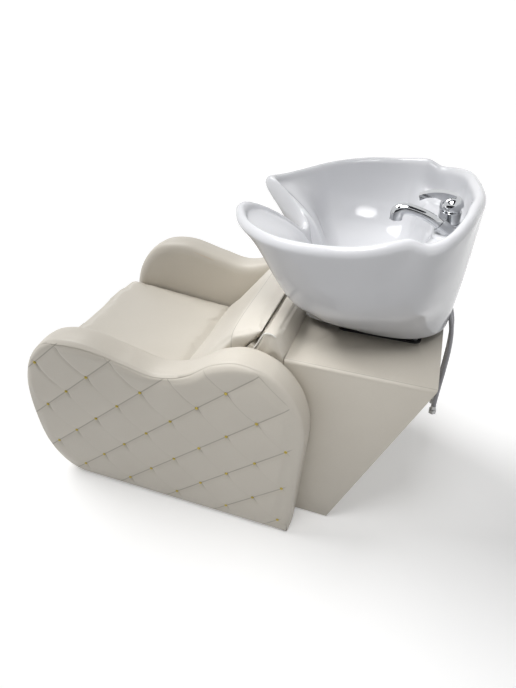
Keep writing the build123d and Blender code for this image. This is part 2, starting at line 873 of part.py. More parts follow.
# Floor glides under the arms and the plinth's rear foot
arm_centre_x = plinth_half + arm_thickness / 2
side_centre_x = side_inner + ply / 2
glide_places = [(arm_centre_x, nose_y + share * arm_length) for share in arm_glide_shares]
glide_places.append((side_centre_x, plinth_foot_y - plinth_glide_inset))
glide_places.append((side_centre_x, front_foot_y + plinth_glide_inset))
with BuildPart() as floor_glides:
    with BuildSketch(Plane.XY):
        with Locations(*glide_places):
            Circle(glide_radius)
    extrude(amount=glide_height)
    mirror(about=Plane.YZ)
floor_glides.part.label = "floor_glides"
export_step(floor_glides.part, "parts/floor_glides.step")


def radial_plane(angle):
    """Upright plane through the waste's axis, its x direction out from the axis, from -Y at angle 0."""
    turn = math.radians(angle)
    return Plane(
        origin=(0, basin_y, 0),
        x_dir=(math.sin(turn), -math.cos(turn), 0),
        z_dir=(-math.cos(turn), -math.sin(turn), 0),
    )


def between(plain, formed, share):
    """Values between two rows of a table, by how far the tap ledge is formed."""
    return [a + share * (b - a) for a, b in zip(plain, formed)]


# Ceramic basin: radial sections lofted round one half, then its bosses, tap pad, recesses and holes
bowl_floor_z = basin_foot_z + bowl_floor_height
cradle_z = pivot_z + cradle_rise
cradle_top_z = cradle_z + cradle_plate
boss_z = cradle_top_z + basin_pad
front_bosses = [(-boss_half, basin_y - boss_front), (boss_half, basin_y - boss_front)]
rear_bosses = [(-boss_half, basin_y + boss_rear), (boss_half, basin_y + boss_rear)]
boss_places = front_bosses + rear_bosses
mixer_y = basin_y + mixer_setback
shower_y = basin_y + shower_setback
tap_pad_under_z = tap_pad_z - tap_pad_depth
waste_seat_z = bowl_floor_z - waste_flange
waste_boss_z = bowl_floor_z - basin_wall - waste_boss_drop
section_rows = [basin_section_shares[0]]
for row in basin_section_shares[1:]:
    if row[0] - section_rows[-1][0] > section_step:
        section_rows.append(between(section_rows[-1], row, middle_share))
    section_rows.append(row)
lip_turns = [turn * math.pi / lip_steps for turn in range(lip_steps + 1)]
with BuildPart() as basin_half:
    for angle, outer_share, lip_share, foot_share, rim_share, ledge, front in section_rows:
        outer = outer_share * basin_half_width
        inner = outer - lip_share * basin_half_width
        foot = foot_share * basin_half_width
        lip_z = basin_foot_z + rim_share * basin_height - lip_height
        reach = inner - waste_hole_radius
        depth = lip_z - bowl_floor_z
        flare = outer - foot
        rise = lip_z - basin_foot_z
        bowl = [between(a, b, ledge) for a, b in zip(bowl_shares, ledge_shares)]
        under = [between(a, b, ledge) for a, b in zip(hollow_shares, hollow_ledge_shares)]
        skirt = [between(a, b, front) for a, b in zip(skirt_shares, skirt_front_shares)]
        low_z, low_r = skirt[-2]
        side = between(hollow_side_shares, hollow_side_ledge_shares, ledge)
        side_z, side_r = between(side, hollow_side_front_shares, front)
        lip_centre = (inner + outer) / 2
        lip_half = (outer - inner) / 2
        with BuildSketch(radial_plane(angle)):
            with BuildLine():
                Polyline(
                    (waste_hole_radius, bowl_floor_z),
                    *[(waste_hole_radius + r * reach, bowl_floor_z + z * depth) for r, z in bowl],
                    *[(lip_centre - lip_half * math.cos(t), lip_z + lip_height * math.sin(t)) for t in lip_turns],
                    *[(foot + r * flare, basin_foot_z + z * rise) for z, r in skirt],
                    (foot, basin_foot_z),
                    (foot - basin_wall, basin_foot_z),
                    (foot + low_r * flare - basin_wall, basin_foot_z + low_z * rise),
                    (foot + side_r * flare - basin_wall, basin_foot_z + side_z * rise),
                    *[(waste_hole_radius + r * reach, bowl_floor_z + z * depth - basin_wall) for r, z in under],
                    (waste_hole_radius, bowl_floor_z - basin_wall),
                    close=True,
                )
            make_face()
    loft(ruled=True)

with BuildPart() as basin:
    add(basin_half.part)
    mirror(basin_half.part, about=Plane.YZ)
    with BuildSketch(Plane.XY.offset(waste_boss_z)):
        with Locations((0, basin_y)):
            Circle(waste_boss_radius)
    extrude(amount=waste_seat_z - waste_boss_z)
    with BuildSketch(Plane.XY.offset(tap_pad_under_z)):
        with Locations((tap_pad_centre_x, mixer_y)):
            SlotOverall(2 * tap_pad_half_length, 2 * tap_pad_half_width)
    extrude(amount=tap_pad_depth)
    with BuildSketch(Plane.XY.offset(boss_z)):
        with Locations(*front_bosses):
            Circle(boss_radius)
    extrude(amount=front_boss_top)
    with BuildSketch(Plane.XY.offset(boss_z)):
        with Locations(*rear_bosses):
            Circle(boss_radius)
    extrude(amount=rear_boss_top)
    with BuildSketch(Plane.XY.offset(boss_z)):
        with Locations(*boss_places):
            Circle(bracket_bolt_radius + bolt_clearance)
    extrude(amount=boss_bore_depth, mode=Mode.SUBTRACT)
    with BuildSketch(Plane.XY.offset(waste_boss_z - overrun)):
        with Locations((0, basin_y)):
            Circle(waste_hole_radius)
    extrude(amount=basin_wall + 2 * overrun, mode=Mode.SUBTRACT)
    with BuildSketch(Plane.XY.offset(waste_seat_z)):
        with Locations((0, basin_y)):
            Circle(waste_flange_radius + soft_gap)
    extrude(amount=overrun, mode=Mode.SUBTRACT)
    with BuildSketch(Plane.XY.offset(tap_pad_under_z - tap_recess_height)):
        with Locations((tap_pad_centre_x, mixer_y)):
            SlotOverall(
                2 * (tap_pad_half_length - tap_recess_margin),
                2 * (tap_pad_half_width - tap_recess_margin),
            )
    extrude(amount=tap_recess_height, mode=Mode.SUBTRACT)
    with BuildSketch(Plane.XY.offset(tap_pad_under_z - overrun)):
        with Locations((0, mixer_y)):
            Circle(mixer_hole_radius)
        with Locations((shower_x, shower_y)):
            Circle(holder_hole_radius)
    extrude(amount=tap_pad_depth + 2 * overrun, mode=Mode.SUBTRACT)
    with BuildSketch(Plane.XZ.offset(-mixer_y - tap_pad_half_width)):
        with Locations((0, basin_foot_z - hose_notch_height)):
            RectangleRounded(2 * hose_notch_half, 4 * hose_notch_height, notch_corner)
    extrude(amount=-2 * hose_notch_half, mode=Mode.SUBTRACT)
basin.part.label = "basin"
export_step(basin.part, "parts/basin.step")

# Tilting bracket bolted to the plinth's top: plate with drain hole and two ears
bracket_top_z = plinth_top_z + plate
with BuildPart() as tilt_bracket:
    with BuildSketch(Plane.XY.offset(plinth_top_z)):
        with Locations((0, bracket_centre_y)):
            RectangleRounded(2 * bracket_half, bracket_front + bracket_rear, bracket_corner)
            with GridLocations(bolt_span_x, bolt_span_y, 2, 2):
                Circle(bracket_bolt_radius + bolt_clearance, mode=Mode.SUBTRACT)
        with Locations((0, drain_y)):
            Circle(drain_hole_radius, mode=Mode.SUBTRACT)
    extrude(amount=plate)
    with BuildSketch(Plane.YZ.offset(ear_half)):
        with Locations((pivot_y, pivot_z)):
            Circle(lug_radius)
        with Locations((pivot_y, bracket_top_z)):
            Rectangle(2 * ear_foot, seal, align=(Align.CENTER, Align.MIN))
        make_hull()
        with Locations((pivot_y, pivot_z)):
            Circle(pin_radius + pin_clearance, mode=Mode.SUBTRACT)
    extrude(amount=ear_plate)
    with BuildSketch(Plane.YZ.offset(-ear_half)):
        with Locations((pivot_y, pivot_z)):
            Circle(lug_radius)
        with Locations((pivot_y, bracket_top_z)):
            Rectangle(2 * ear_foot, seal, align=(Align.CENTER, Align.MIN))
        make_hull()
        with Locations((pivot_y, pivot_z)):
            Circle(pin_radius + pin_clearance, mode=Mode.SUBTRACT)
    extrude(amount=-ear_plate)
tilt_bracket.part.label = "tilt_bracket"
export_step(tilt_bracket.part, "parts/tilt_bracket.step")

with BuildPart() as bracket_bolts:
    with BuildSketch(Plane.XY.offset(bracket_top_z)):
        with Locations((0, bracket_centre_y)):
            with GridLocations(bolt_span_x, bolt_span_y, 2, 2):
                Circle(arm_bolt_head_radius)
    extrude(amount=arm_bolt_head)
    with BuildSketch(Plane.XY.offset(side_top_z)):
        with Locations((0, bracket_centre_y)):
            with GridLocations(bolt_span_x, bolt_span_y, 2, 2):
                Circle(bracket_bolt_radius)
    extrude(amount=bracket_top_z - side_top_z)
bracket_bolts.part.label = "bracket_bolts"
export_step(bracket_bolts.part, "parts/bracket_bolts.step")

# Hinge pin through the ears, with its nut
ear_outer = ear_half + ear_plate
with BuildPart() as tilt_pin:
    with BuildSketch(Plane.YZ.offset(-ear_outer - pin_head - soft_gap)):
        with Locations((pivot_y, pivot_z)):
            Circle(pin_radius)
    extrude(amount=2 * ear_outer + pin_head + soft_gap)
    with BuildSketch(Plane.YZ.offset(ear_outer)):
        with Locations((pivot_y, pivot_z)):
            Circle(pin_head_radius)
    extrude(amount=pin_head)
tilt_pin.part.label = "tilt_pin"
export_step(tilt_pin.part, "parts/tilt_pin.step")

with BuildPart() as tilt_pin_nut:
    with BuildSketch(Plane.YZ.offset(-ear_outer)):
        with Locations((pivot_y, pivot_z)):
            RegularPolygon(pin_head_radius, nut_sides)
            Circle(pin_radius + thread_gap, mode=Mode.SUBTRACT)
    extrude(amount=-pin_head)
tilt_pin_nut.part.label = "tilt_pin_nut"
export_step(tilt_pin_nut.part, "parts/tilt_pin_nut.step")

# Rubber stops that the basin rests on when it isn't tilted
stop_places = [(-stop_half, basin_y + stop_setback), (stop_half, basin_y + stop_setback)]
with BuildPart() as tilt_stops:
    with BuildSketch(Plane.XY.offset(bracket_top_z)):
        with Locations(*stop_places):
            Circle(stop_radius)
    extrude(amount=cradle_z - stop_gap - bracket_top_z)
tilt_stops.part.label = "tilt_stops"
export_step(tilt_stops.part, "parts/tilt_stops.step")

# Cradle plate under the basin, with the lugs that turn on the pin
lug_half = ear_half - lug_gap - ear_plate
with BuildPart() as tilt_cradle:
    with BuildSketch(Plane.XY.offset(cradle_z)):
        with Locations((0, basin_y + (cradle_rear - cradle_front) / 2)):
            RectangleRounded(2 * cradle_half, cradle_front + cradle_rear, bracket_corner)
        with Locations((0, basin_y)):
            Circle(cradle_hole_radius, mode=Mode.SUBTRACT)
        with Locations(*boss_places):
            Circle(bracket_bolt_radius + bolt_clearance, mode=Mode.SUBTRACT)
    extrude(amount=cradle_plate)
    for sign in (1, -1):
        with BuildSketch(Plane.YZ.offset(sign * lug_half)):
            with Locations((pivot_y, pivot_z)):
                Circle(lug_radius)
            with Locations((pivot_y, cradle_z)):
                Rectangle(2 * (lug_radius + bracket_corner) - ear_plate, seal, align=(Align.CENTER, Align.MIN))
            make_hull()
            with Locations((pivot_y, pivot_z)):
                Circle(pin_radius + pin_clearance, mode=Mode.SUBTRACT)
        extrude(amount=sign * ear_plate)
tilt_cradle.part.label = "tilt_cradle"
export_step(tilt_cradle.part, "parts/tilt_cradle.step")

with BuildPart() as basin_pads:
    with BuildSketch(Plane.XY.offset(cradle_top_z)):
        with Locations(*boss_places):
            Circle(boss_radius)
            Circle(bracket_bolt_radius + bolt_clearance, mode=Mode.SUBTRACT)
    extrude(amount=basin_pad)
basin_pads.part.label = "basin_pads"
export_step(basin_pads.part, "parts/basin_pads.step")

with BuildPart() as cradle_bolts:
    with BuildSketch(Plane.XY.offset(cradle_z - arm_bolt_head)):
        with Locations(*boss_places):
            Circle(arm_bolt_head_radius)
    extrude(amount=arm_bolt_head)
    with BuildSketch(Plane.XY.offset(cradle_z)):
        with Locations(*boss_places):
            Circle(bracket_bolt_radius)
    extrude(amount=boss_z + boss_bore_depth - soft_gap - cradle_z)
cradle_bolts.part.label = "cradle_bolts"
export_step(cradle_bolts.part, "parts/cradle_bolts.step")

# Waste: flange in the bowl's floor, seal and tail with its cup below, and the lift-out hair strainer
cup_top_z = waste_boss_z - seal
thread_end_z = cup_top_z - waste_cup_height / 2
with BuildPart() as waste_flange_piece:
    with BuildSketch(Plane.XY.offset(waste_seat_z)):
        with Locations((0, basin_y)):
            Circle(waste_flange_radius)
            Circle(waste_bore_radius, mode=Mode.SUBTRACT)
    extrude(amount=waste_flange)
    with BuildSketch(Plane.XY.offset(thread_end_z)):
        with Locations((0, basin_y)):
            Circle(waste_thread_radius)
            Circle(waste_bore_radius, mode=Mode.SUBTRACT)
    extrude(amount=waste_seat_z - thread_end_z)
waste_flange_piece.part.label = "waste_flange"
export_step(waste_flange_piece.part, "parts/waste_flange.step")

with BuildPart() as waste_seal:
    with BuildSketch(Plane.XY.offset(cup_top_z)):
        with Locations((0, basin_y)):
            Circle(waste_cup_radius)
            Circle(waste_thread_radius + soft_gap, mode=Mode.SUBTRACT)
    extrude(amount=seal)
waste_seal.part.label = "waste_seal"
export_step(waste_seal.part, "parts/waste_seal.step")

with BuildPart() as waste_tail:
    with BuildSketch(Plane.XY.offset(cup_top_z - waste_cup_height)):
        with Locations((0, basin_y)):
            Circle(waste_cup_radius)
    extrude(amount=waste_cup_height)
    with BuildSketch(Plane.XY.offset(thread_end_z)):
        with Locations((0, basin_y)):
            Circle(waste_thread_radius + thread_gap)
    extrude(amount=waste_cup_height / 2, mode=Mode.SUBTRACT)
    with BuildSketch(Plane.XY.offset(plinth_top_z - waste_tail_end)):
        with Locations((0, basin_y)):
            Circle(waste_tail_radius)
    extrude(amount=cup_top_z - waste_cup_height - plinth_top_z + waste_tail_end)
    with BuildSketch(Plane.XY.offset(plinth_top_z - waste_tail_end)):
        with Locations((0, basin_y)):
            Circle(waste_tail_bore)
    extrude(amount=thread_end_z - plinth_top_z + waste_tail_end, mode=Mode.SUBTRACT)
waste_tail.part.label = "waste_tail"
export_step(waste_tail.part, "parts/waste_tail.step")

with BuildPart() as hair_strainer:
    with BuildSketch(Plane.XY.offset(bowl_floor_z)):
        with Locations((0, basin_y)):
            Circle(strainer_radius)
    extrude(amount=strainer_plate)
    with BuildSketch(Plane.XY.offset(bowl_floor_z - strainer_spigot)):
        with Locations((0, basin_y)):
            Circle(waste_bore_radius - strainer_clearance)
    extrude(amount=strainer_spigot)
    with BuildSketch(Plane.XY.offset(bowl_floor_z - strainer_spigot)):
        with Locations((0, basin_y)):
            with PolarLocations(strainer_ring_radius, strainer_hole_count):
                Circle(strainer_hole_radius)
    extrude(amount=strainer_spigot + strainer_plate, mode=Mode.SUBTRACT)
    with BuildSketch(Plane.XY.offset(bowl_floor_z + strainer_plate)):
        with Locations((0, basin_y)):
            Circle(strainer_knob_radius)
    extrude(amount=strainer_knob_height)
hair_strainer.part.label = "hair_strainer"
export_step(hair_strainer.part, "parts/hair_strainer.step")

# Mixer: gasket, body, cartridge, turning ball with its two trunnions, and the lever whose domed cap tips on them
mixer_z = tap_pad_z + mixer_gasket
mixer_top_z = mixer_z + mixer_height
ball_z = mixer_top_z + ball_rise
stud_y_place = mixer_y + mixer_stud_offset
hose_holes = [(-hose_route[0][0], hose_route[0][1]), (hose_route[0][0], hose_route[0][1])]
with BuildPart() as mixer_gasket_piece:
    with BuildSketch(Plane.XY.offset(tap_pad_z)):
        with Locations((0, mixer_y)):
            Circle(mixer_base_radius)
            Circle(mixer_hole_radius, mode=Mode.SUBTRACT)
    extrude(amount=mixer_gasket)
mixer_gasket_piece.part.label = "mixer_gasket"
export_step(mixer_gasket_piece.part, "parts/mixer_gasket.step")

with BuildPart() as mixer_body:
    with BuildSketch(Plane.XY.offset(mixer_z)):
        with Locations((0, mixer_y)):
            Circle(mixer_base_radius)
    extrude(amount=mixer_base_height)
    with BuildSketch(Plane.XY.offset(mixer_z + mixer_base_height)):
        with Locations((0, mixer_y)):
            Circle(mixer_radius)
    extrude(amount=mixer_height - mixer_base_height)
    chamfer(mixer_body.edges().group_by(Axis.Z)[-1], length=cap_gap)
    with BuildSketch(Plane.XY.offset(mixer_top_z - cartridge_height)):
        with Locations((0, mixer_y)):
            Circle(mixer_bore_radius)
    extrude(amount=cartridge_height, mode=Mode.SUBTRACT)
    with BuildSketch(Plane.XY.offset(mixer_z)):
        with Locations((0, stud_y_place)):
            Circle(mixer_stud_radius + thread_gap)
    extrude(amount=mixer_base_height, mode=Mode.SUBTRACT)
mixer_body.part.label = "mixer_body"
export_step(mixer_body.part, "parts/mixer_body.step")

with BuildPart() as mixer_cartridge:
    with BuildSketch(Plane.XY.offset(mixer_top_z - cartridge_height)):
        with Locations((0, mixer_y)):
            Circle(mixer_bore_radius - cartridge_clearance)
    extrude(amount=cartridge_height - stub_depth)
mixer_cartridge.part.label = "mixer_cartridge"
export_step(mixer_cartridge.part, "parts/mixer_cartridge.step")

trunnion_half = ball_radius + cap_gap + trunnion_bearing
with BuildPart() as mixer_swivel:
    with Locations((0, mixer_y, ball_z)):
        Sphere(ball_radius)
    split(bisect_by=Plane.XY.offset(mixer_top_z + swivel_gap), keep=Keep.TOP)
    with BuildSketch(Plane.XY.offset(mixer_top_z - stub_depth + swivel_gap)):
        with Locations((0, mixer_y)):
            Circle(mixer_bore_radius - cartridge_clearance)
    extrude(amount=stub_depth)
    with BuildSketch(Plane.YZ.offset(-trunnion_half)):
        with Locations((mixer_y, ball_z)):
            Circle(trunnion_radius)
    extrude(amount=2 * trunnion_half)
mixer_swivel.part.label = "mixer_swivel"
export_step(mixer_swivel.part, "parts/mixer_swivel.step")

blade_top = [(mixer_y - ahead * lever_reach, ball_z + up * lever_top) for ahead, up in blade_top_shares]
blade_under = [(mixer_y - ahead * lever_reach, ball_z + up * lever_top) for ahead, up in blade_under_shares]
cap_cut = Plane(origin=(0, mixer_y, ball_z), x_dir=(1, 0, 0)).rotated((cap_cut_angle, 0, 0))
ear_half_span = (trunnion_half + cap_gap + cap_radius) / 2
with BuildPart() as mixer_lever:
    with Locations((0, mixer_y, ball_z)):
        Sphere(cap_radius)
    split(bisect_by=cap_cut, keep=Keep.TOP)
    with BuildSketch(Plane.YZ.offset(-lever_half_width)):
        with BuildLine():
            Spline(*blade_top)
            Line(blade_top[-1], blade_under[0])
            Spline(*blade_under)
            Line(blade_under[-1], blade_top[0])
        make_face()
    extrude(amount=2 * lever_half_width)
    with BuildSketch(Plane.YZ.offset(-ear_half_span)):
        with Locations((mixer_y, ball_z)):
            Circle(trunnion_radius + trunnion_wall)
    extrude(amount=2 * ear_half_span)
    with Locations((0, mixer_y, ball_z)):
        Sphere(ball_radius + cap_gap, mode=Mode.SUBTRACT)
    with BuildSketch(Plane.YZ.offset(-trunnion_half - cap_gap)):
        with Locations((mixer_y, ball_z)):
            Circle(trunnion_radius + trunnion_clearance)
    extrude(amount=2 * (trunnion_half + cap_gap), mode=Mode.SUBTRACT)
mixer_lever.part.label = "mixer_lever"
export_step(mixer_lever.part, "parts/mixer_lever.step")

with BuildPart() as mixer_stud:
    with BuildSketch(Plane.XY.offset(mixer_z + mixer_base_height - mixer_stud_length)):
        with Locations((0, stud_y_place)):
            Circle(mixer_stud_radius)
    extrude(amount=mixer_stud_length)
mixer_stud.part.label = "mixer_stud"
export_step(mixer_stud.part, "parts/mixer_stud.step")

with BuildPart() as mixer_washer_piece:
    with BuildSketch(Plane.XY.offset(tap_pad_under_z - mixer_washer)):
        with Locations((0, mixer_y)):
            Circle(mixer_washer_radius)
        with Locations(*hose_holes):
            Circle(hose_hole_radius, mode=Mode.SUBTRACT)
        with Locations(hose_holes[0][:2]):
            Rectangle(
                2 * hose_route[0][0],
                2 * hose_hole_radius,
                align=(Align.MIN, Align.CENTER),
                mode=Mode.SUBTRACT,
            )
        with Locations((0, stud_y_place)):
            Circle(mixer_stud_radius + thread_gap, mode=Mode.SUBTRACT)
    extrude(amount=mixer_washer)
mixer_washer_piece.part.label = "mixer_washer"
export_step(mixer_washer_piece.part, "parts/mixer_washer.step")

with BuildPart() as mixer_nut:
    with BuildSketch(Plane.XY.offset(tap_pad_under_z - mixer_washer - mixer_nut_height)):
        with Locations((0, stud_y_place)):
            RegularPolygon(mixer_nut_radius, nut_sides)
            Circle(mixer_stud_radius + thread_gap, mode=Mode.SUBTRACT)
    extrude(amount=mixer_nut_height)
mixer_nut.part.label = "mixer_nut"
export_step(mixer_nut.part, "parts/mixer_nut.step")

# Holder of the hand shower: flange on the tap pad, slanted sleeve, shank and nut under the pad
shower_z = tap_pad_z + holder_flange / 2
forward = math.sin(math.radians(shower_lean))
upward = math.cos(math.radians(shower_lean))


def shower_plane(along):
    """Plane square to the slanted sleeve, at a distance along it."""
    return Plane(
        origin=(shower_x, shower_y - along * forward, shower_z + along * upward),
        x_dir=(1, 0, 0),
        z_dir=(0, -forward, upward),
    )


with BuildPart() as shower_holder:
    with BuildSketch(shower_plane(0)):
        Circle(holder_radius)
    extrude(amount=holder_length + holder_flange)
    split(bisect_by=Plane.XY.offset(tap_pad_z), keep=Keep.TOP)
    with BuildSketch(Plane.XY.offset(tap_pad_z)):
        with Locations((shower_x, shower_y)):
            Circle(holder_flange_radius)
    extrude(amount=holder_flange)
    with BuildSketch(Plane.XY.offset(tap_pad_z - holder_shank_length)):
        with Locations((shower_x, shower_y)):
            Circle(holder_shank_radius)
    extrude(amount=holder_shank_length)
    with BuildSketch(shower_plane(holder_length + holder_flange - holder_bore_depth)):
        Circle(holder_bore)
    extrude(amount=holder_bore_depth + overrun, mode=Mode.SUBTRACT)
shower_holder.part.label = "shower_holder"
export_step(shower_holder.part, "parts/shower_holder.step")

with BuildPart() as shower_holder_nut:
    with BuildSketch(Plane.XY.offset(tap_pad_under_z - holder_nut_height)):
        with Locations((shower_x, shower_y)):
            RegularPolygon(holder_nut_radius, nut_sides)
            Circle(holder_shank_radius + thread_gap, mode=Mode.SUBTRACT)
    extrude(amount=holder_nut_height)
shower_holder_nut.part.label = "shower_holder_nut"
export_step(shower_holder_nut.part, "parts/shower_holder_nut.step")

# Hand shower: straight handle in the sleeve, then a neck that turns down to the spray face
handle_start = holder_length + holder_flange - holder_bore_depth + soft_gap
neck_start = math.hypot(shower_route[0][0], shower_route[0][1])
spray_ahead, spray_up, spray_radius, spray_rise = shower_route[-1]
spray_y = shower_y - spray_ahead
spray_z = shower_z + spray_up
handle_rise = 90 - shower_lean
handle_rows = []
for along in (handle_start, (handle_start + neck_start) / 2):
    handle_rows.append((along * forward, along * upward, handle_radius, handle_rise))
with BuildPart() as hand_shower:
    for ahead, up, radius, rise in handle_rows + shower_route:
        rise_angle = math.radians(rise)
        section = Plane(
            origin=(shower_x, shower_y - ahead, shower_z + up),
            x_dir=(1, 0, 0),
            z_dir=(0, -math.cos(rise_angle), math.sin(rise_angle)),
        )
        with BuildSketch(section):
            Circle(radius)
    loft()
    with BuildSketch(Plane.XY.offset(spray_z)):
        with Locations((shower_x, spray_y)):
            Circle(spray_face_radius + thread_gap)
    extrude(amount=spray_face_recess, mode=Mode.SUBTRACT)
hand_shower.part.label = "hand_shower"
export_step(hand_shower.part, "parts/hand_shower.step")

with BuildPart() as shower_spray_face:
    with BuildSketch(Plane.XY.offset(spray_z + spray_face_recess)):
        with Locations((shower_x, spray_y)):
            Circle(spray_face_radius)
    extrude(amount=-spray_face)
shower_spray_face.part.label = "shower_spray_face"
export_step(shower_spray_face.part, "parts/shower_spray_face.step")

# Two supply hoses from the mixer down behind the plinth, with their ferrules and end nuts
runs = [math.dist(a, b) for a, b in zip(hose_route, hose_route[1:])]
bend_radii = []
for i in range(1, len(hose_route) - 1):
    before = Vector(*hose_route[i]) - Vector(*hose_route[i - 1])
    after = Vector(*hose_route[i + 1]) - Vector(*hose_route[i])
    half_turn = math.radians(before.get_angle(after)) / 2
    bend_radii.append(bend_share * min(runs[i - 1], runs[i]) / math.tan(half_turn))
print("hose bend radii", [round(radius) for radius in bend_radii], "hose length", round(sum(runs)))
with BuildPart() as hot_hose:
    with BuildLine() as hose_line:
        FilletPolyline(*hose_route, radius=bend_radii)
    with BuildSketch(Plane.XY.offset(hose_route[0][2])):
        with Locations(hose_route[0][:2]):
            Circle(hose_radius)
    sweep(path=hose_line.line, is_frenet=False)
hot_hose.part.label = "hot_supply_hose"
export_step(hot_hose.part, "parts/hot_supply_hose.step")
with BuildPart() as cold_hose:
    mirror(hot_hose.part, about=Plane.YZ)
cold_hose.part.label = "cold_supply_hose"
export_step(cold_hose.part, "parts/cold_supply_hose.step")

hose_end_x, hose_end_y, hose_end_z = hose_route[-1]
hose_ends = [(-hose_end_x, hose_end_y), (hose_end_x, hose_end_y)]
with BuildPart() as hose_ferrules:
    with BuildSketch(Plane.XY.offset(hose_end_z)):
        with Locations(*hose_ends):
            Circle(ferrule_radius)
            Circle(hose_radius + soft_gap, mode=Mode.SUBTRACT)
    extrude(amount=ferrule_length)
hose_ferrules.part.label = "hose_ferrules"
export_step(hose_ferrules.part, "parts/hose_ferrules.step")

with BuildPart() as hose_nuts:
    with BuildSketch(Plane.XY.offset(hose_end_z - nut_length)):
        with Locations(*hose_ends):
            RegularPolygon(nut_flats / 2, nut_sides, major_radius=False)
    extrude(amount=nut_length)
    with BuildSketch(Plane.XY.offset(hose_end_z - nut_length)):
        with Locations(*hose_ends):
            Circle(nut_bore)
    extrude(amount=nut_bore_depth, mode=Mode.SUBTRACT)
hose_nuts.part.label = "hose_nuts"
export_step(hose_nuts.part, "parts/hose_nuts.step")
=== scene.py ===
import bmesh
import bpy
import math
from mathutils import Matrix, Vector
from mathutils.kdtree import KDTree


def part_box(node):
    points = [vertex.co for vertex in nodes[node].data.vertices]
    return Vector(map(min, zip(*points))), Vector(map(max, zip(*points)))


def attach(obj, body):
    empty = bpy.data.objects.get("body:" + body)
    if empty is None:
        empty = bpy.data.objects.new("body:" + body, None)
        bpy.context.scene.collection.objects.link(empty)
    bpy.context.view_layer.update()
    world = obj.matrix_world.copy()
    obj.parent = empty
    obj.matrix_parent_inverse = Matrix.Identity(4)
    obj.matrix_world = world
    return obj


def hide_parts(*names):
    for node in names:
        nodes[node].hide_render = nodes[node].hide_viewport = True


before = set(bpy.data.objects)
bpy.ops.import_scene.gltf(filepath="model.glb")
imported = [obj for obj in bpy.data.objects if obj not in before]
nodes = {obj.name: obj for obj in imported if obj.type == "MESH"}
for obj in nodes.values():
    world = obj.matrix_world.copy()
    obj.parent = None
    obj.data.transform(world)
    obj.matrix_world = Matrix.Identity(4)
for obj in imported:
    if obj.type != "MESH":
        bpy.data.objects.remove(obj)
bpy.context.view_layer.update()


# Timber: boards, rails and spacers of birch plywood, sawn to outline, glued and screwed. The covers hide
# them when the unit is finished, so they stay bare, with their grain.
class Term:
    """A socket of a shader that can be written in sums."""

    def __init__(self, shading, socket):
        self.shading = shading
        self.socket = socket

    def joined(self, operation, first, second=0.0):
        return self.shading.add("ShaderNodeMath", {"operation": operation}, {0: first, 1: second})

    def __add__(self, other):
        return self.joined("ADD", self, other)

    def __sub__(self, other):
        return self.joined("SUBTRACT", self, other)

    def __rsub__(self, other):
        return self.joined("SUBTRACT", other, self)

    def __mul__(self, other):
        return self.joined("MULTIPLY", self, other)

    def __abs__(self):
        return self.joined("ABSOLUTE", self)

    __radd__ = __add__
    __rmul__ = __mul__


class Shading:
    """The nodes of a material or of the light around the unit."""

    def __init__(self, tree):
        self.tree = tree

    def feed(self, socket, value):
        if isinstance(value, Term):
            self.tree.links.new(value.socket, socket)
        else:
            socket.default_value = value

    def add(self, kind, settings=None, sockets=None, out=0):
        """A node of any type: its settings first, then values or links of its sockets."""
        node = self.tree.nodes.new(kind)
        for key, value in (settings or {}).items():
            setattr(node, key, value)
        for key, value in (sockets or {}).items():
            self.feed(node.inputs[key], value)
        return Term(self, node.outputs[out])


class Finish(Shading):
    """One material of the unit."""

    def __init__(self, name, **shader):
        self.material = bpy.data.materials.new(name)
        self.material.use_nodes = True
        super().__init__(self.material.node_tree)
        self.shader = self.tree.nodes["Principled BSDF"]
        for socket, value in shader.items():
            self.shader.inputs[socket.replace("_", " ").title().replace("Ior", "IOR")].default_value = value

    def place(self):
        return self.add("ShaderNodeTexCoord", out="Object")

    def noise(self, scale, detail=2.0, vector=None):
        sockets = {"Vector": vector or self.place(), "Scale": scale, "Detail": detail}
        return self.add("ShaderNodeTexNoise", None, sockets)

    def stretched(self, x, y, z):
        return self.add("ShaderNodeMapping", None, {"Vector": self.place(), "Scale": (x, y, z)})

    def between(self, share, low, high):
        """A mix of two colours, by the colour sockets of the node."""
        return self.add("ShaderNodeMix", {"data_type": "RGBA"}, {0: share, 6: low, 7: high}, 2)

    def surface(self, socket, value):
        self.feed(self.shader.inputs[socket], value)

    def relief(self, height, depth, strength=1.0):
        sockets = {"Height": height, "Distance": depth, "Strength": strength}
        self.surface("Normal", self.add("ShaderNodeBump", None, sockets, "Normal"))


def dress(finish, *names):
    """Put a finish on CAD nodes."""
    for name in names:
        for place in nodes[name].material_slots:
            place.link = "OBJECT"
            place.material = finish.material


birch = Finish("birch_plywood")
grain = birch.noise(90.0, 4.0, birch.stretched(1.0, 0.12, 0.12))
birch.surface("Base Color", birch.between(grain, (0.60, 0.44, 0.27, 1.0), (0.76, 0.60, 0.41, 1.0)))
birch.surface("Roughness", 0.50 + 0.22 * grain)
birch.relief(grain, 0.0004, 0.4)
timber = ["plinth_left_side", "plinth_right_side", "plinth_rear_board", "plinth_front_board"]
timber += ["plinth_cross_rails", "plinth_top_board", "seat_board", "back_panel_board", "arm_spacers"]
timber += [f"arm_{side}_{board}" for side in ("left", "right") for board in ("inner_board", "outer_board")]
dress(birch, *timber)


# Floor glides: black nylon discs nailed under the arms and the plinth, on which the whole unit stands. They
# are moulded, so their faces are a little rough.
nylon = Finish("black_nylon", base_color=(0.025, 0.025, 0.028, 1.0))
nylon.surface("Roughness", 0.48 + 0.15 * nylon.noise(400.0))
nylon.relief(nylon.noise(900.0, 3.0), 0.0002, 0.3)
dress(nylon, "floor_glides")


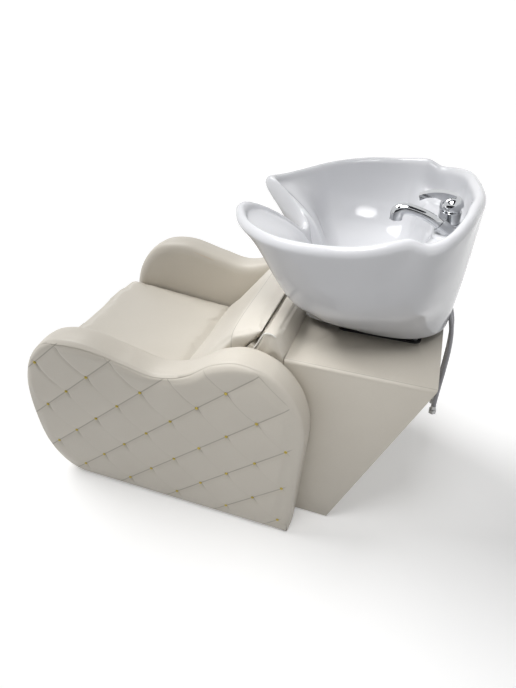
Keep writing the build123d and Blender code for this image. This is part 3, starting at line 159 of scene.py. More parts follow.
# Plinth covers: cream upholstery leather over thin foam, pulled round the boards and stapled out of sight.
# The edges are soft, and a fine seam runs along each side of the top.
def leather(name, pale, deep, cell):
    """Satin upholstery leather: cloudy colour, fine pebbled grain with a slight sheen in the pores."""
    hide = Finish(name, specular_ior_level=0.42, sheen_weight=0.08, sheen_roughness=0.5)
    cloud = hide.noise(9.0, 3.0)
    spread = {"Vector": hide.place(), "Scale": 1 / cell}
    pebbles = hide.add("ShaderNodeTexVoronoi", {"feature": "DISTANCE_TO_EDGE"}, spread)
    wrinkles = hide.noise(150.0, 4.0)
    hide.surface("Base Color", hide.between(0.5 * cloud + 0.3 * wrinkles, deep, pale))
    hide.surface("Roughness", 0.36 + 0.12 * wrinkles)
    hide.relief(pebbles + 0.6 * wrinkles, 0.0006, 0.35)
    return hide


def axes(finish):
    """The three coordinates of a point, as parts of a finish."""
    parts = finish.add("ShaderNodeSeparateXYZ", None, {0: finish.place()})
    return [Term(finish, parts.socket.node.outputs[axis]) for axis in "XYZ"]


def faded(value, low, high):
    """1 below the low value, 0 above the high one, as part of a finish."""
    sockets = {"Value": value, "From Min": low, "From Max": high, "To Min": 1.0, "To Max": 0.0}
    return value.shading.add("ShaderNodeMapRange", {"interpolation_type": "SMOOTHSTEP"}, sockets)


def painted_seam_shade(hide, line):
    """Paint shade into a leather's colour along a sewn line: a darker line that stands in for the shade in
    the seam's crease.
    """
    plain = Term(hide, hide.shader.inputs["Base Color"].links[0].from_socket)
    # The dark colour here is painted shade, not the colour of the thread or the leather.
    hide.surface("Base Color", hide.between(0.5 * line, plain, (0.20, 0.18, 0.14, 1.0)))


def placed(name, data):
    """A new object in the scene."""
    thing = bpy.data.objects.new(name, data)
    bpy.context.scene.collection.objects.link(thing)
    return thing


def show(piece, finish, body="frame"):
    """Give a made piece its finish, slot and body."""
    piece.data.materials.clear()
    piece.data.materials.append(finish.material)
    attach(piece, body)


weld, flat_angle, edge_angle = 0.00002, math.radians(1.0), math.radians(40.0)


def softened(node, name, width):
    """A copy of a CAD piece with every edge rounded over."""
    mesh = nodes[node].data.copy()
    shape = bmesh.new()
    shape.from_mesh(mesh)
    bmesh.ops.remove_doubles(shape, verts=shape.verts, dist=weld)
    bmesh.ops.dissolve_limit(shape, angle_limit=flat_angle, verts=shape.verts, edges=shape.edges)
    for face in shape.faces:
        face.smooth = True
    shape.to_mesh(mesh)
    shape.free()
    piece = placed(name, mesh)
    rounding = piece.modifiers.new("rounding", "BEVEL")
    rounding.width = width
    rounding.segments = 3
    rounding.limit_method = "ANGLE"
    rounding.angle_limit = edge_angle
    rounding.harden_normals = True
    return piece


cream, deep_cream, pebble = (0.70, 0.66, 0.585, 1.0), (0.62, 0.575, 0.50, 1.0), 0.0014
cover_leather = leather("cream_cover_leather", cream, deep_cream, pebble)
top_leather = leather("cream_top_leather", cream, deep_cream, pebble)
top_seam, top_seam_shade_band = 0.2675, (0.0004, 0.0014)
across_top = axes(top_leather)[0]
# The darker line along each side seam of the top is painted shade, standing in for the shade in the seam's
# crease.
painted_seam_shade(top_leather, 0.6 * faded(abs(abs(across_top) - top_seam), *top_seam_shade_band))
side_edge, rear_edge, top_edge = 0.0022, 0.002, 0.0035
for node, width, hide in (
    ("plinth_left_cover", side_edge, cover_leather),
    ("plinth_right_cover", side_edge, cover_leather),
    ("plinth_rear_cover", rear_edge, cover_leather),
    ("plinth_top_cover", top_edge, top_leather),
):
    cover = softened(node, node + "_leather", width)
    show(cover, hide)
    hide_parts(node)


# Seat, backrest and back panel: sewn leather cases over foam, drawn tight so that their sides belly out. They
# are pressed between the arms and rest on their boards, and white piping edges the sides of the back panel.
seat_cream, deep_seat_cream, seat_pebble = (0.72, 0.68, 0.61, 1.0), (0.645, 0.605, 0.53, 1.0), 0.0013
cushion_leather = leather("cream_cushion_leather", seat_cream, deep_seat_cream, seat_pebble)
backrest_leather = leather("cream_backrest_leather", seat_cream, deep_seat_cream, seat_pebble)
neck_seam, neck_seam_shade_band, neck_height = 0.050, (0.0004, 0.0018), (0.56, 0.57)
deep_backrest, up_backrest = axes(backrest_leather)[1:]
on_top = 1.0 - faded(up_backrest, *neck_height)
# The dark line of the neck seam on the backrest's top is painted shade, standing in for the shade in the
# seam's crease.
painted_seam_shade(backrest_leather, faded(abs(deep_backrest - neck_seam), *neck_seam_shade_band) * on_top)
dress(cushion_leather, "backrest_board")
case_side, air_pressure, air_frames, slack_share = 0.2739, 4.0, 20, 0.45
seat_end, backrest_start, crease_reach = -0.1597, -0.1600, 0.035


def ease(low, high, value):
    """Smooth step from 0 to 1."""
    t = max(0.0, min(1.0, (value - low) / (high - low)))
    return t * t * (3 - 2 * t)


def set_form(piece):
    """Turn the modifiers of a piece into its mesh."""
    mesh = bpy.data.meshes.new_from_object(piece.evaluated_get(bpy.context.evaluated_depsgraph_get()))
    piece.modifiers.clear()
    piece.data = mesh


def refine(piece):
    finer = piece.modifiers.new("finer", "SUBSURF")
    finer.levels = 1
    finer.render_levels = 1


def stuffed(node, cell, give, hide, rounding, meets=None):
    """Copy a CAD cushion, blow its case up a little within limits, and draw it to the crease it meets."""
    piece = placed(node + "_case", nodes[node].data.copy())
    cells = piece.modifiers.new("cells", "REMESH")
    cells.mode = "VOXEL"
    cells.voxel_size = cell
    soft_edges = piece.modifiers.new("soft_edges", "SMOOTH")
    soft_edges.iterations = rounding
    set_form(piece)
    start = [point.co.copy() for point in piece.data.vertices]
    inward = [point.normal * give * slack_share for point in piece.data.vertices]
    for point, step in zip(piece.data.vertices, inward):
        point.co -= step
    air = piece.modifiers.new("air", "CLOTH")
    air.settings.use_pressure = True
    air.settings.uniform_pressure_force = air_pressure
    air.settings.effector_weights.gravity = 0.0
    air.settings.quality = 5
    air.point_cache.frame_end = air_frames
    for step in range(1, air_frames + 1):
        bpy.context.scene.frame_set(step)
    set_form(piece)
    bpy.context.scene.frame_set(1)
    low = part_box(node)[0]
    for point, before in zip(piece.data.vertices, start):
        move = point.co - before
        if move.length > give:
            point.co = before + move * (give / move.length)
        point.co.x = max(-case_side, min(case_side, point.co.x))
        point.co.z = max(low.z, point.co.z)
    if meets:
        crease, way = meets
        end = max(way * point.co.y for point in piece.data.vertices)
        for point in piece.data.vertices:
            near = ease(-crease_reach, 0.0, way * point.co.y - end)
            point.co.y += way * (way * crease - end) * near
    for face in piece.data.polygons:
        face.use_smooth = True
    refine(piece)
    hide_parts(node)
    show(piece, hide)


stuffed("seat_cushion", 0.006, 0.008, cushion_leather, 3, (seat_end, 1))
stuffed("backrest_cushion", 0.006, 0.007, backrest_leather, 4, (backrest_start, -1))
stuffed("back_panel", 0.004, 0.004, cushion_leather, 14)


def tube(name, route, sign, radius, roundness, fineness):
    """A round cord on one smooth curve, on the side that the sign gives."""
    data = bpy.data.curves.new(name, "CURVE")
    data.dimensions = "3D"
    data.bevel_depth = radius
    data.bevel_resolution = roundness
    data.use_fill_caps = True
    run = data.splines.new("NURBS")
    run.points.add(len(route) - 1)
    for point, (x, y, z) in zip(run.points, route):
        point.co = (sign * x, y, z, 1.0)
    run.order_u = 3
    run.use_endpoint_u = True
    run.resolution_u = fineness
    return placed(name, data)


piping_leather = leather("white_piping_leather", (0.80, 0.79, 0.75, 1.0), (0.74, 0.73, 0.69, 1.0), 0.0010)
piping_side = 0.2718
piping_edge = [(0.084, 0.548), (0.1147, 0.5850), (0.128, 0.612), (0.137, 0.6315), (0.146, 0.6375)]
piping_edge += [(0.160, 0.6365), (0.170, 0.630)]
piping_route = [(piping_side, y, z) for y, z in piping_edge]
for side, sign in (("left", 1), ("right", -1)):
    piping = tube(f"back_panel_{side}_piping", piping_route, sign, radius=0.0017, roundness=3, fineness=12)
    show(piping, piping_leather)


# Arms, boxing: the smooth leather band that wraps the arm's edge over foam, from the seat's side round the
# waved top to the quilted face, and rolls over into it without a break.
arm_nose, arm_run, arm_foot, arm_rise = -0.588, 0.863, 0.005, 0.594
arm_shares = [(0.148, 0.0), (0.070, 0.050), (0.022, 0.150), (0.000, 0.328), (0.012, 0.600), (0.063, 0.772)]
arm_shares += [(0.146, 0.884), (0.266, 0.918), (0.423, 0.868), (0.531, 0.838), (0.635, 0.880), (0.728, 0.968)]
arm_shares += [(0.809, 1.000), (0.900, 0.957), (0.965, 0.850), (0.994, 0.730), (1.000, 0.620)]
rear_foot_share, rear_lead_share = 0.966, 0.2
outline_spacing, floor_lead = 0.004, 0.06
seam_x, inner_x, lining_inset = 0.347, 0.2743, 0.036


def hermite(a, b, leave, arrive, t):
    """A value or point between two others, with its slopes at both."""
    first, last = 2 * t**3 - 3 * t**2 + 1, 3 * t**2 - 2 * t**3
    return a * first + leave * (t**3 - 2 * t**2 + t) + b * last + arrive * (t**3 - t**2)


def through(points, spacing):
    """A smooth row of points through the given ones."""
    gaps = [math.sqrt((b - a).length) for a, b in zip(points, points[1:])]
    row = []
    for i, gap in enumerate(gaps):
        a, b = points[i], points[i + 1]
        before, after = gaps[max(i - 1, 0)], gaps[min(i + 1, len(gaps) - 1)]
        past = points[i - 1] if i else a * 2 - b
        coming = points[i + 2] if i + 2 < len(points) else b * 2 - a
        leave = (b - a) + ((a - past) / before - (b - past) / (before + gap)) * gap
        arrive = (b - a) + ((coming - b) / after - (coming - a) / (gap + after)) * gap
        count = max(1, round((b - a).length / spacing))
        row += [hermite(a, b, leave, arrive, k / count) for k in range(count)]
    return row + [points[-1]]


def straight(a, b, spacing):
    count = max(1, round((b - a).length / spacing))
    return [a.lerp(b, k / count) for k in range(count + 1)]


def solid(name, points, faces):
    """A smooth mesh piece, creased where its faces meet sharply."""
    mesh = bpy.data.meshes.new(name)
    mesh.from_pydata(points, [], faces)
    for face in mesh.polygons:
        face.use_smooth = True
    mesh.set_sharp_from_angle(angle=math.radians(60))
    return placed(name, mesh)


def pair(part, name, points, faces, finish):
    """The same piece on both arms, the right one mirrored."""
    for side, sign in (("left", 1), ("right", -1)):
        there = [(sign * x, y, z) for x, y, z in points]
        turned = faces if sign > 0 else [face[::-1] for face in faces]
        piece = solid(f"arm_{side}_{name}", there, turned)
        show(piece, finish)
        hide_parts(f"arm_{side}_{part}")


arm_points = [Vector((arm_nose + a * arm_run, arm_foot + b * arm_rise)) for a, b in arm_shares]
rear_foot = Vector((arm_nose + rear_foot_share * arm_run, arm_foot))
on_floor = arm_points[0] + Vector((floor_lead, 0.0))
on_rear = arm_points[-1].lerp(rear_foot, rear_lead_share)
wave = through([on_floor] + arm_points + [on_rear], outline_spacing)
lead = round(floor_lead / outline_spacing)
trail = round((on_rear - arm_points[-1]).length / outline_spacing)
wave = wave[lead:-trail]
contour = wave + straight(wave[-1], rear_foot, outline_spacing)[1:]
contour += straight(rear_foot, wave[0], outline_spacing)[1:-1]


def normals(row):
    """Inward directions at a closed row of points, longer at its corners so that offsets stay parallel."""
    found = []
    for i, here in enumerate(row):
        ahead = (row[(i + 1) % len(row)] - here).normalized()
        behind = (here - row[i - 1]).normalized()
        a, b = Vector((ahead.y, -ahead.x)), Vector((behind.y, -behind.x))
        middle = (a + b).normalized()
        found.append(middle / max(0.5, middle.dot(a)))
    return found


inward = normals(contour)
rear_roll, floor_roll = (0.140, 0.178), (0.015, 0.04)


def seam_show(point):
    """1 where the seam shows, 0 where the face rolls over at the rear and along the floor."""
    return (1 - ease(*rear_roll, point.x)) * ease(*floor_roll, point.y)


# How far the band lies in from the seam, and how far it stands over the outline there.
sewn_line = [(0.0, -0.0003), (0.0030, -0.0002)]
belly_line = [(0.0080, 0.0005), (0.0140, 0.0013), (0.0220, 0.0021), (0.0340, 0.0023), (0.0430, 0.0016)]
least_belly, inner_roll, roll_steps = 0.4, 0.022, 12
tuck, tuck_end, board_gap = 0.0015, 0.0020, 0.0040
seam_fold, fold_depth, seam_depth_under = 0.004, 0.0162, 0.0120
deep_band_cream = (0.625, 0.58, 0.505, 1.0)
band_leather = leather("cream_band_leather", cream, deep_band_cream, pebble)
points, faces = [], []
for here, way in zip(contour, inward):
    belly = least_belly + (1 - least_belly) * seam_show(here)
    ring = [(seam_x - across, -height) for across, height in sewn_line]
    ring += [(seam_x - across, -height * belly) for across, height in belly_line]
    for turn in range(1, roll_steps + 1):
        sweep = turn / roll_steps * math.pi / 2
        ring.append((inner_x + inner_roll * (1 - math.sin(sweep)), lining_inset * (1 - math.cos(sweep))))
    ring += [(inner_x, lining_inset + tuck), (inner_x + board_gap, lining_inset + tuck_end)]
    ring += [(seam_x - seam_fold, fold_depth), (seam_x, seam_depth_under)]
    for x, depth in ring:
        place = here + way * depth
        points.append((x, place.x, max(place.y, arm_foot)))
size = len(ring)
for i in range(len(contour)):
    j = (i + 1) % len(contour)
    for k in range(size):
        m = (k + 1) % size
        faces.append((i * size + k, j * size + k, j * size + m, i * size + m))
pair("boxing", "boxing_band", points, faces, band_leather)


# Arms, lining: the plain leather face of each arm towards the seat, stretched over its board and caught under
# the band's rolled edge.
lining_lap, lining_skin = 0.002, 0.0002
lining_rim = [here + way * (lining_inset - lining_lap) for here, way in zip(contour, inward)]
points = [(inner_x + lining_skin, place.x, place.y) for place in lining_rim]
points += [(inner_x + board_gap, place.x, place.y) for place in lining_rim]
count = len(lining_rim)
faces = [tuple(range(count)), tuple(range(2 * count - 1, count - 1, -1))]
for i in range(count):
    j = (i + 1) % count
    faces.append((j, i, count + i, count + j))
pair("lining", "lining_leather", points, faces, cover_leather)


# Arms, quilted face: leather and wadding sewn together along slanting rows, crossed by a lighter set, with
# a small pucker and a short pull at each stud. A sunk seam runs inside its rolled edge, except at the rear.
panel_pad = 0.0186
row_step, cross_step = Vector((0.0858, 0.0752)), Vector((0.0813, -0.0782))
first_stud = Vector((0.073, 0.500))
turning = row_step.x * cross_step.y - row_step.y * cross_step.x
row_gap, cross_gap = abs(turning) / row_step.length, abs(turning) / cross_step.length
cross_way = cross_step.normalized()
bow_back, bow_up = 0.0005, 0.0012


def bow(across):
    """The sewn rows bow a little towards the rear foot and the front hump."""
    return Vector((-bow_back * (across + 1) ** 2, bow_up * (across - 0.5) ** 2))


def lattice(point):
    """How many steps a point lies along the rows and across them."""
    away = point - first_stud
    away = away - bow((row_step.x * away.y - row_step.y * away.x) / turning)
    return (
        (away.x * cross_step.y - away.y * cross_step.x) / turning,
        (row_step.x * away.y - row_step.y * away.x) / turning,
    )


def crossing(along, across):
    return first_stud + row_step * along + cross_step * across + bow(across)


def within(start, end, value):
    """1 between two soft ends, 0 outside them."""
    return ease(*start, value) * (1 - ease(*end, value))


seam_least, seam_half, seam_lip, seam_depth = 0.0042, 0.0019, 0.0008, 0.0018
hump_inset, hump_from, hump_to, hump_height = 0.0090, (-0.49, -0.41), (-0.38, -0.25), (0.40, 0.50)
valley_inset, valley_from, valley_to, valley_height = 0.0038, (-0.42, -0.25), (-0.08, 0.02), (0.30, 0.42)


def seam_inset(point):
    """How far inside the outline the seam runs."""
    hump = ease(*hump_height, point.y) * within(hump_from, hump_to, point.x)
    valley = ease(*valley_height, point.y) * within(valley_from, valley_to, point.x)
    return seam_least + hump_inset * hump + valley_inset * valley


# Sizes of the sewing: the rows' pillows, the crossing lines, the last line, puckers and pulls at the studs.
pillow, crisp, fullness = 0.0100, 0.002, 0.19
cross_dip, cross_dip_under_seam, cross_half = 0.0004, 0.0014, 0.005
under_top_edge, by_the_seam = (0.36, 0.42), (0.09, 0.15)
end_seam, end_dip, end_half, end_rear = 1.21, 0.0034, 0.0036, (0.245, 0.262)
pucker, stud_sink = 0.015, 0.6
pull_length, pull_dip, pull_half = 0.030, 0.0035, 0.0035
unsewn_height, unsewn_run = 0.004, 0.08
sewn_edge_height, plain_edge, sewn_edge_gain, rear_edge_run = (0.30, 0.42), 0.045, 0.027, (0.026, 0.052)


def groove(away, half):
    """1 on a sewn line or stud, falling away from it."""
    return math.exp(-((away / half) ** 2))


def quilt(point, depth, border, rear_depth):
    """How far the face stands out over its board at a point, depth inside its edge."""
    along, across = lattice(point)
    row = math.sin(math.pi * across)
    height = pillow * ((row * row + crisp) ** fullness - crisp**fullness)
    under_seam = ease(*under_top_edge, border.y) * (1 - ease(*by_the_seam, depth))
    dip = cross_dip + cross_dip_under_seam * under_seam
    height -= dip * groove(abs(along - round(along)) * cross_gap, cross_half)
    ending = 1 - ease(*end_rear, point.x)
    height -= end_dip * ending * groove(abs(along - end_seam) * cross_gap, end_half)
    away = point - crossing(round(along), round(across))
    height *= 1 - stud_sink * groove(away.length, pucker)
    run = away.dot(cross_way)
    if 0 < run < pull_length:
        aside = (away - cross_way * run).length
        height -= pull_dip * (1 - run / pull_length) * groove(aside, pull_half)
    height += (unsewn_height - height) * ease(end_seam, end_seam + unsewn_run, along)
    sewn_edge = seam_show(border) * ease(*sewn_edge_height, border.y)
    start = seam_inset(border) * sewn_edge
    full = ease(start, start + plain_edge - sewn_edge_gain * sewn_edge, depth)
    return height * full * ease(*rear_edge_run, rear_depth)


roll_least, roll_rear, roll_floor = 0.014, 0.020, 0.009
rear_roll_rise, floor_roll_rise = (0.02, 0.06), (0.01, 0.05)


def stand_out(point, depth, border):
    """How far a point of the face stands out over its board, with the nearest point of the outline."""
    rear = ease(*rear_roll, border.x) * ease(*rear_roll_rise, border.y)
    roll = roll_least + roll_rear * rear - roll_floor * (1 - ease(*floor_roll_rise, border.y))
    share = min(1.0, depth / roll)
    rise = math.sqrt(1 - (1 - share) ** 2)
    slope_share = min(1.0, (point.y - arm_foot) / (wave[-1].y - arm_foot))
    rear_line = rear_foot.x + (wave[-1].x - rear_foot.x) * slope_share
    rear_depth = min(depth if rear > 0.5 else 1.0, rear_line - point.x)
    stitch = max(0.0, 1 - abs(depth - seam_inset(border)) / seam_half) * seam_show(border)
    return (panel_pad + quilt(point, depth, border, rear_depth)) * rise - seam_depth * stitch


def at(row, shares):
    """The points at rising shares of the way along a row of points."""
    lengths = [0.0]
    for a, b in zip(row, row[1:]):
        lengths.append(lengths[-1] + (b - a).length)
    found, high = [], 1
    for share in shares:
        wanted = share * lengths[-1]
        while high < len(lengths) - 1 and lengths[high] < wanted:
            high += 1
        gap = lengths[high] - lengths[high - 1]
        found.append(row[high - 1].lerp(row[high], (wanted - lengths[high - 1]) / gap))
    return found


def steps(count):
    return [k / count for k in range(count + 1)]


def nearest(row, place):
    """Where in a row of points the one nearest to a place is."""
    return min(range(len(row)), key=lambda i: (row[i] - place).length)


columns, rows = 250, 160
top_front, top_rear = nearest(wave, arm_points[5]), nearest(wave, arm_points[15])
foot = nearest(contour, rear_foot)
border = at(contour[: top_front + 1], steps(rows))[:-1]
border += at(contour[top_front : top_rear + 1], steps(columns))[:-1]
border += at(contour[top_rear : foot + 1], steps(rows))[:-1]
border += at(contour[foot:] + contour[:1], steps(columns))[:-1]
border_ways = normals(border)
tree = KDTree(len(border))
for i, here in enumerate(border):
    tree.insert((here.x, here.y, 0.0), i)
tree.balance()
edge_fold, edge_reach, under_band = [0.0, 0.0005, 0.0011, 0.0018], 0.030, 0.0003
depths = []
for here in border:
    seam = seam_inset(here)
    near = edge_fold + [seam - seam_half, seam - seam_lip, seam, seam + seam_lip, seam + seam_half]
    past = edge_reach - near[-1]
    depths.append(near + [near[-1] + past * share for share in (0.12, 0.28, 0.48, 0.72, 1.0)])
points, faces = [], []
around = len(border)
edge_rings = len(depths[0])
for ring in range(edge_rings):
    for here, way, near in zip(border, border_ways, depths):
        place = here + way * (near[ring] + under_band)
        points.append((seam_x + stand_out(place, near[ring], here), place.x, place.y))
for ring in range(edge_rings - 1):
    for i in range(around):
        a, b = ring * around + i, ring * around + (i + 1) % around
        faces.append((a, a + around, b + around, b))
inner = [Vector(point[1:]) for point in points[-around:]]
last = len(points) - around
front_row = inner[: rows + 1]
top_row = inner[rows : rows + columns + 1]
rear_row = inner[rows + columns : 2 * rows + columns + 1][::-1]
bottom_row = (inner[2 * rows + columns :] + inner[:1])[::-1]
grid = {}
for i in range(columns + 1):
    for j in range(rows + 1):
        if i == 0:
            grid[i, j] = last + j
        elif j == rows:
            grid[i, j] = last + rows + i
        elif i == columns:
            grid[i, j] = last + columns + 2 * rows - j
        elif j == 0:
            grid[i, j] = last + 2 * columns + 2 * rows - i
        else:
            u, v = i / columns, j / rows
            here = front_row[j] * (1 - u) + rear_row[j] * u + bottom_row[i] * (1 - v) + top_row[i] * v
            here -= front_row[0] * ((1 - u) * (1 - v)) + rear_row[0] * (u * (1 - v))
            here -= top_row[0] * ((1 - u) * v) + top_row[-1] * (u * v)
            found, index, depth = tree.find((here.x, here.y, 0.0))
            grid[i, j] = len(points)
            points.append((seam_x + stand_out(here, depth, border[index]), here.x, here.y))
for i in range(columns):
    for j in range(rows):
        faces.append((grid[i, j], grid[i + 1, j], grid[i + 1, j + 1], grid[i, j + 1]))
faces.append(tuple(range(around)))
panel_leather = leather("cream_quilted_leather", cream, deep_band_cream, pebble)
side_x, deep_y, high_z = axes(panel_leather)
away_y, away_z = deep_y - first_stud.x, high_z - first_stud.y
plain_across = away_z * (row_step.x / turning) - away_y * (row_step.y / turning)
bent_y = away_y + bow_back * (plain_across + 1.0) * (plain_across + 1.0)
bent_z = away_z - bow_up * (plain_across - 0.5) * (plain_across - 0.5)
across = bent_z * (row_step.x / turning) - bent_y * (row_step.y / turning)
along = bent_y * (cross_step.y / turning) - bent_z * (cross_step.x / turning)
# Painted shade: dark lines along the sewn rows, the crossing lines and the last line stand in for the shade
# in their creases.
row_shade_band, cross_shade_band, face_start = (0.0005, 0.0022), (0.0004, 0.0018), (0.3615, 0.3635)
rear_slant, rear_clear = 0.0797, (0.208, 0.224)
to_row = across.joined("PINGPONG", across, 0.5) * row_gap
to_cross = along.joined("PINGPONG", along, 0.5) * cross_gap
past_stud = across.joined("FRACT", across)
to_end = abs(along - end_seam) * cross_gap
on_face = 1.0 - faded(abs(side_x), *face_start)
inside = faded(deep_y - rear_slant * high_z, *rear_clear) * faded(along, end_seam - 0.02, end_seam + 0.01)
# The crossing lines get more painted shade near the top and just past each stud, where their pulls sink in.
cross_shade_share = 0.10 + 0.35 * (1.0 - faded(high_z, 0.38, 0.44)) + 0.5 * faded(past_stud, 0.10, 0.20)
ending = faded(across, 1.05, 1.1) * faded(0.0 - across, 0.1, 0.2)
quilt_shade = faded(to_row, *row_shade_band) * inside + cross_shade_share * faded(to_cross, *cross_shade_band) * inside
quilt_shade = (quilt_shade + 0.9 * faded(to_end, *row_shade_band) * ending) * on_face
painted_seam_shade(panel_leather, quilt_shade.joined("MINIMUM", quilt_shade, 1.0))
pair("quilted_panel", "quilted_face", points, faces, panel_leather)


# Arms, studs: brass dome nails, one at each crossing of the quilting but the outermost, driven in until their
# rims press the leather.
brass = Finish("brass_gilt", base_color=(0.55, 0.44, 0.11, 1.0), metallic=1.0)
brass.surface("Roughness", 0.24 + 0.16 * brass.noise(700.0))
stud_radius, stud_height, stud_seat, stud_sides = 0.0046, 0.0042, 0.3650, 16
stud_profile = [(1.0, -0.35), (1.0, 0.12), (0.93, 0.36), (0.78, 0.64), (0.55, 0.86), (0.28, 0.97)]
stud_rows = {-3: (-4, -4), -2: (-5, -3), -1: (-6, -2), 0: (-6, 0), 1: (-5, 0), 2: (-4, 0), 3: (-3, -1)}
stud_rows[4] = (-2, -2)


def ringed(base, rings, count):
    """Faces between rings of points that follow one another in a list."""
    found = []
    for ring in range(rings - 1):
        for turn in range(count):
            a, b = base + ring * count + turn, base + ring * count + (turn + 1) % count
            found.append((a, b, b + count, a + count))
    return found


points, faces = [], []
for across, (first, final) in stud_rows.items():
    for along in range(first, final + 1):
        centre = crossing(along, across)
        base = len(points)
        for radius_share, height_share in stud_profile:
            x = stud_seat + stud_height * height_share
            for turn in range(stud_sides):
                angle = turn / stud_sides * 2 * math.pi
                y = centre.x + stud_radius * radius_share * math.cos(angle)
                points.append((x, y, centre.y + stud_radius * radius_share * math.sin(angle)))
        points.append((stud_seat + stud_height, centre.x, centre.y))
        faces += ringed(base, len(stud_profile), stud_sides)
        rim = len(points) - 1 - stud_sides
        for turn in range(stud_sides):
            faces.append((rim + turn, rim + (turn + 1) % stud_sides, len(points) - 1))
        faces.append(tuple(base + turn for turn in range(stud_sides - 1, -1, -1)))
pair("studs", "brass_studs", points, faces, brass)


# Basin: slip-cast vitreous china under a clear gloss glaze, thick-lipped, with the neck notch in front and a
# ledge for the taps at the rear. It is hollow under the bowl, with four short feet on the cradle's pads.
half_width, basin_foot, basin_rise, floor_rise = 0.333, 0.592, 0.348, 0.098
wall, lip_rise, hole, basin_y = 0.014, 0.019, 0.024, 0.3299
# Angle from the front, then as shares: outer edge, lip width, foot, rim height, tap ledge, front skirt.
sections = [(0.0, 0.548, 0.082, 0.399, 0.600, 0.0, 1.0), (6.0, 0.560, 0.084, 0.402, 0.607, 0.0, 1.0)]
sections += [(9.5, 0.625, 0.122, 0.407, 0.638, 0.0, 1.0), (12.5, 0.755, 0.190, 0.412, 0.697, 0.0, 1.0)]
sections += [(15.5, 0.925, 0.235, 0.416, 0.796, 0.0, 1.0), (18.0, 1.000, 0.150, 0.421, 0.858, 0.0, 1.0)]
sections += [(22.0, 1.012, 0.092, 0.430, 0.852, 0.0, 1.0), (28.0, 1.014, 0.080, 0.452, 0.836, 0.0, 1.0)]
sections += [(36.0, 1.008, 0.078, 0.480, 0.832, 0.0, 0.8)]
sections += [(45.0, 1.003, 0.078, 0.447, 0.842, 0.0, 0.4), (61.0, 1.018, 0.078, 0.393, 0.871, 0.0, 0.0)]
sections += [(78.0, 1.015, 0.078, 0.375, 0.899, 0.0, 0.0), (94.0, 0.985, 0.078, 0.372, 0.921, 0.0, 0.0)]
sections += [(105.0, 0.952, 0.078, 0.395, 0.951, 0.0, 0.0), (111.0, 0.934, 0.078, 0.410, 0.960, 0.15, 0.0)]
sections += [(117.5, 0.943, 0.080, 0.432, 0.926, 0.60, 0.0), (125.0, 0.934, 0.084, 0.465, 0.943, 0.95, 0.0)]
sections += [(140.0, 0.847, 0.088, 0.560, 0.986, 1.0, 0.0), (158.0, 0.764, 0.090, 0.655, 1.000, 1.0, 0.0)]
sections += [(180.0, 0.745, 0.090, 0.703, 0.994, 1.0, 0.0)]
# Sides of a section: bowl as (reach, height), skirt as (height, reach), underside as (reach, height).
bowl = [(0.30, 0.02), (0.55, 0.08), (0.75, 0.20), (0.88, 0.40), (0.95, 0.62), (0.985, 0.82)]
tap_ledge = [(0.25, 0.02), (0.46, 0.11), (0.57, 0.32), (0.62, 0.60), (0.72, 0.70), (0.985, 0.71)]
skirt = [(0.78, 0.893), (0.60, 0.795), (0.39, 0.627), (0.28, 0.475), (0.20, 0.35), (0.10, 0.19)]
front_skirt = [(0.78, 0.905), (0.60, 0.81), (0.40, 0.64), (0.28, 0.44), (0.20, 0.15), (0.10, 0.04)]
horn_bowl = [(0.28, 0.02), (0.40, 0.20), (0.48, 0.44), (0.58, 0.65), (0.76, 0.84), (0.95, 0.975)]
horn_skirt = [(0.914, 0.78), (0.85, 0.60), (0.77, 0.40), (0.70, 0.28), (0.62, 0.20), (0.47, 0.10)]
horn_low, horn_hollow = (0.20, 0.04), (0.34, 0.07)
under_horn = [(0.44, 0.20), (0.36, 0.08), (0.30, 0.03), (0.20, 0.012)]
under = [(0.80, 0.26), (0.68, 0.15), (0.50, 0.065), (0.28, 0.018)]
under_ledge = [(0.84, 0.71), (0.70, 0.45), (0.58, 0.15), (0.38, 0.04)]
hollow_side, hollow_side_ledge, hollow_side_front = (0.36, 0.53), (0.70, 0.80), (0.34, 0.42)
horn_start, horn_full, horn_fade = 0.60, 0.98, (26.0, 58.0)
# The stepped seat of the waste as (radius, height over the bowl's floor), and the boss under it.
drain_seat = [(hole, -0.0145), (hole, -0.0034), (0.0338, -0.0028), (0.0346, -0.0022), (0.0348, -0.0004)]
drain_seat += [(0.0356, 0.0003)]
drain_edge, drain_edge_rise, boss, boss_depth, foot_edge = 0.0370, 0.0004, 0.0420, 0.0040, 0.001
inside_spacing, outside_spacing, lip_steps = 0.012, 0.014, 12


def shared(plain, formed, share):
    return tuple(a + (b - a) * share for a, b in zip(plain, formed))


def section_at(angle):
    """The section's shares at any angle, smooth between the chosen ones and alike on both sides."""
    mirrored = [(-row[0],) + row[1:] for row in sections[2:0:-1]] + sections
    mirrored += [(360 - row[0],) + row[1:] for row in sections[-2:-4:-1]]
    k = max(i for i in range(1, len(mirrored) - 2) if mirrored[i][0] <= angle or i == 1)
    a, b, c, d = mirrored[k - 1 : k + 3]
    t = (angle - b[0]) / (c[0] - b[0])
    row = []
    for i in range(1, 7):
        leave = (c[i] - a[i]) / (c[0] - a[0]) * (c[0] - b[0])
        arrive = (d[i] - b[i]) / (d[0] - b[0]) * (c[0] - b[0])
        row.append(hermite(b[i], c[i], leave, arrive, t))
    return row[:4] + [max(0.0, min(1.0, share)) for share in row[4:]]


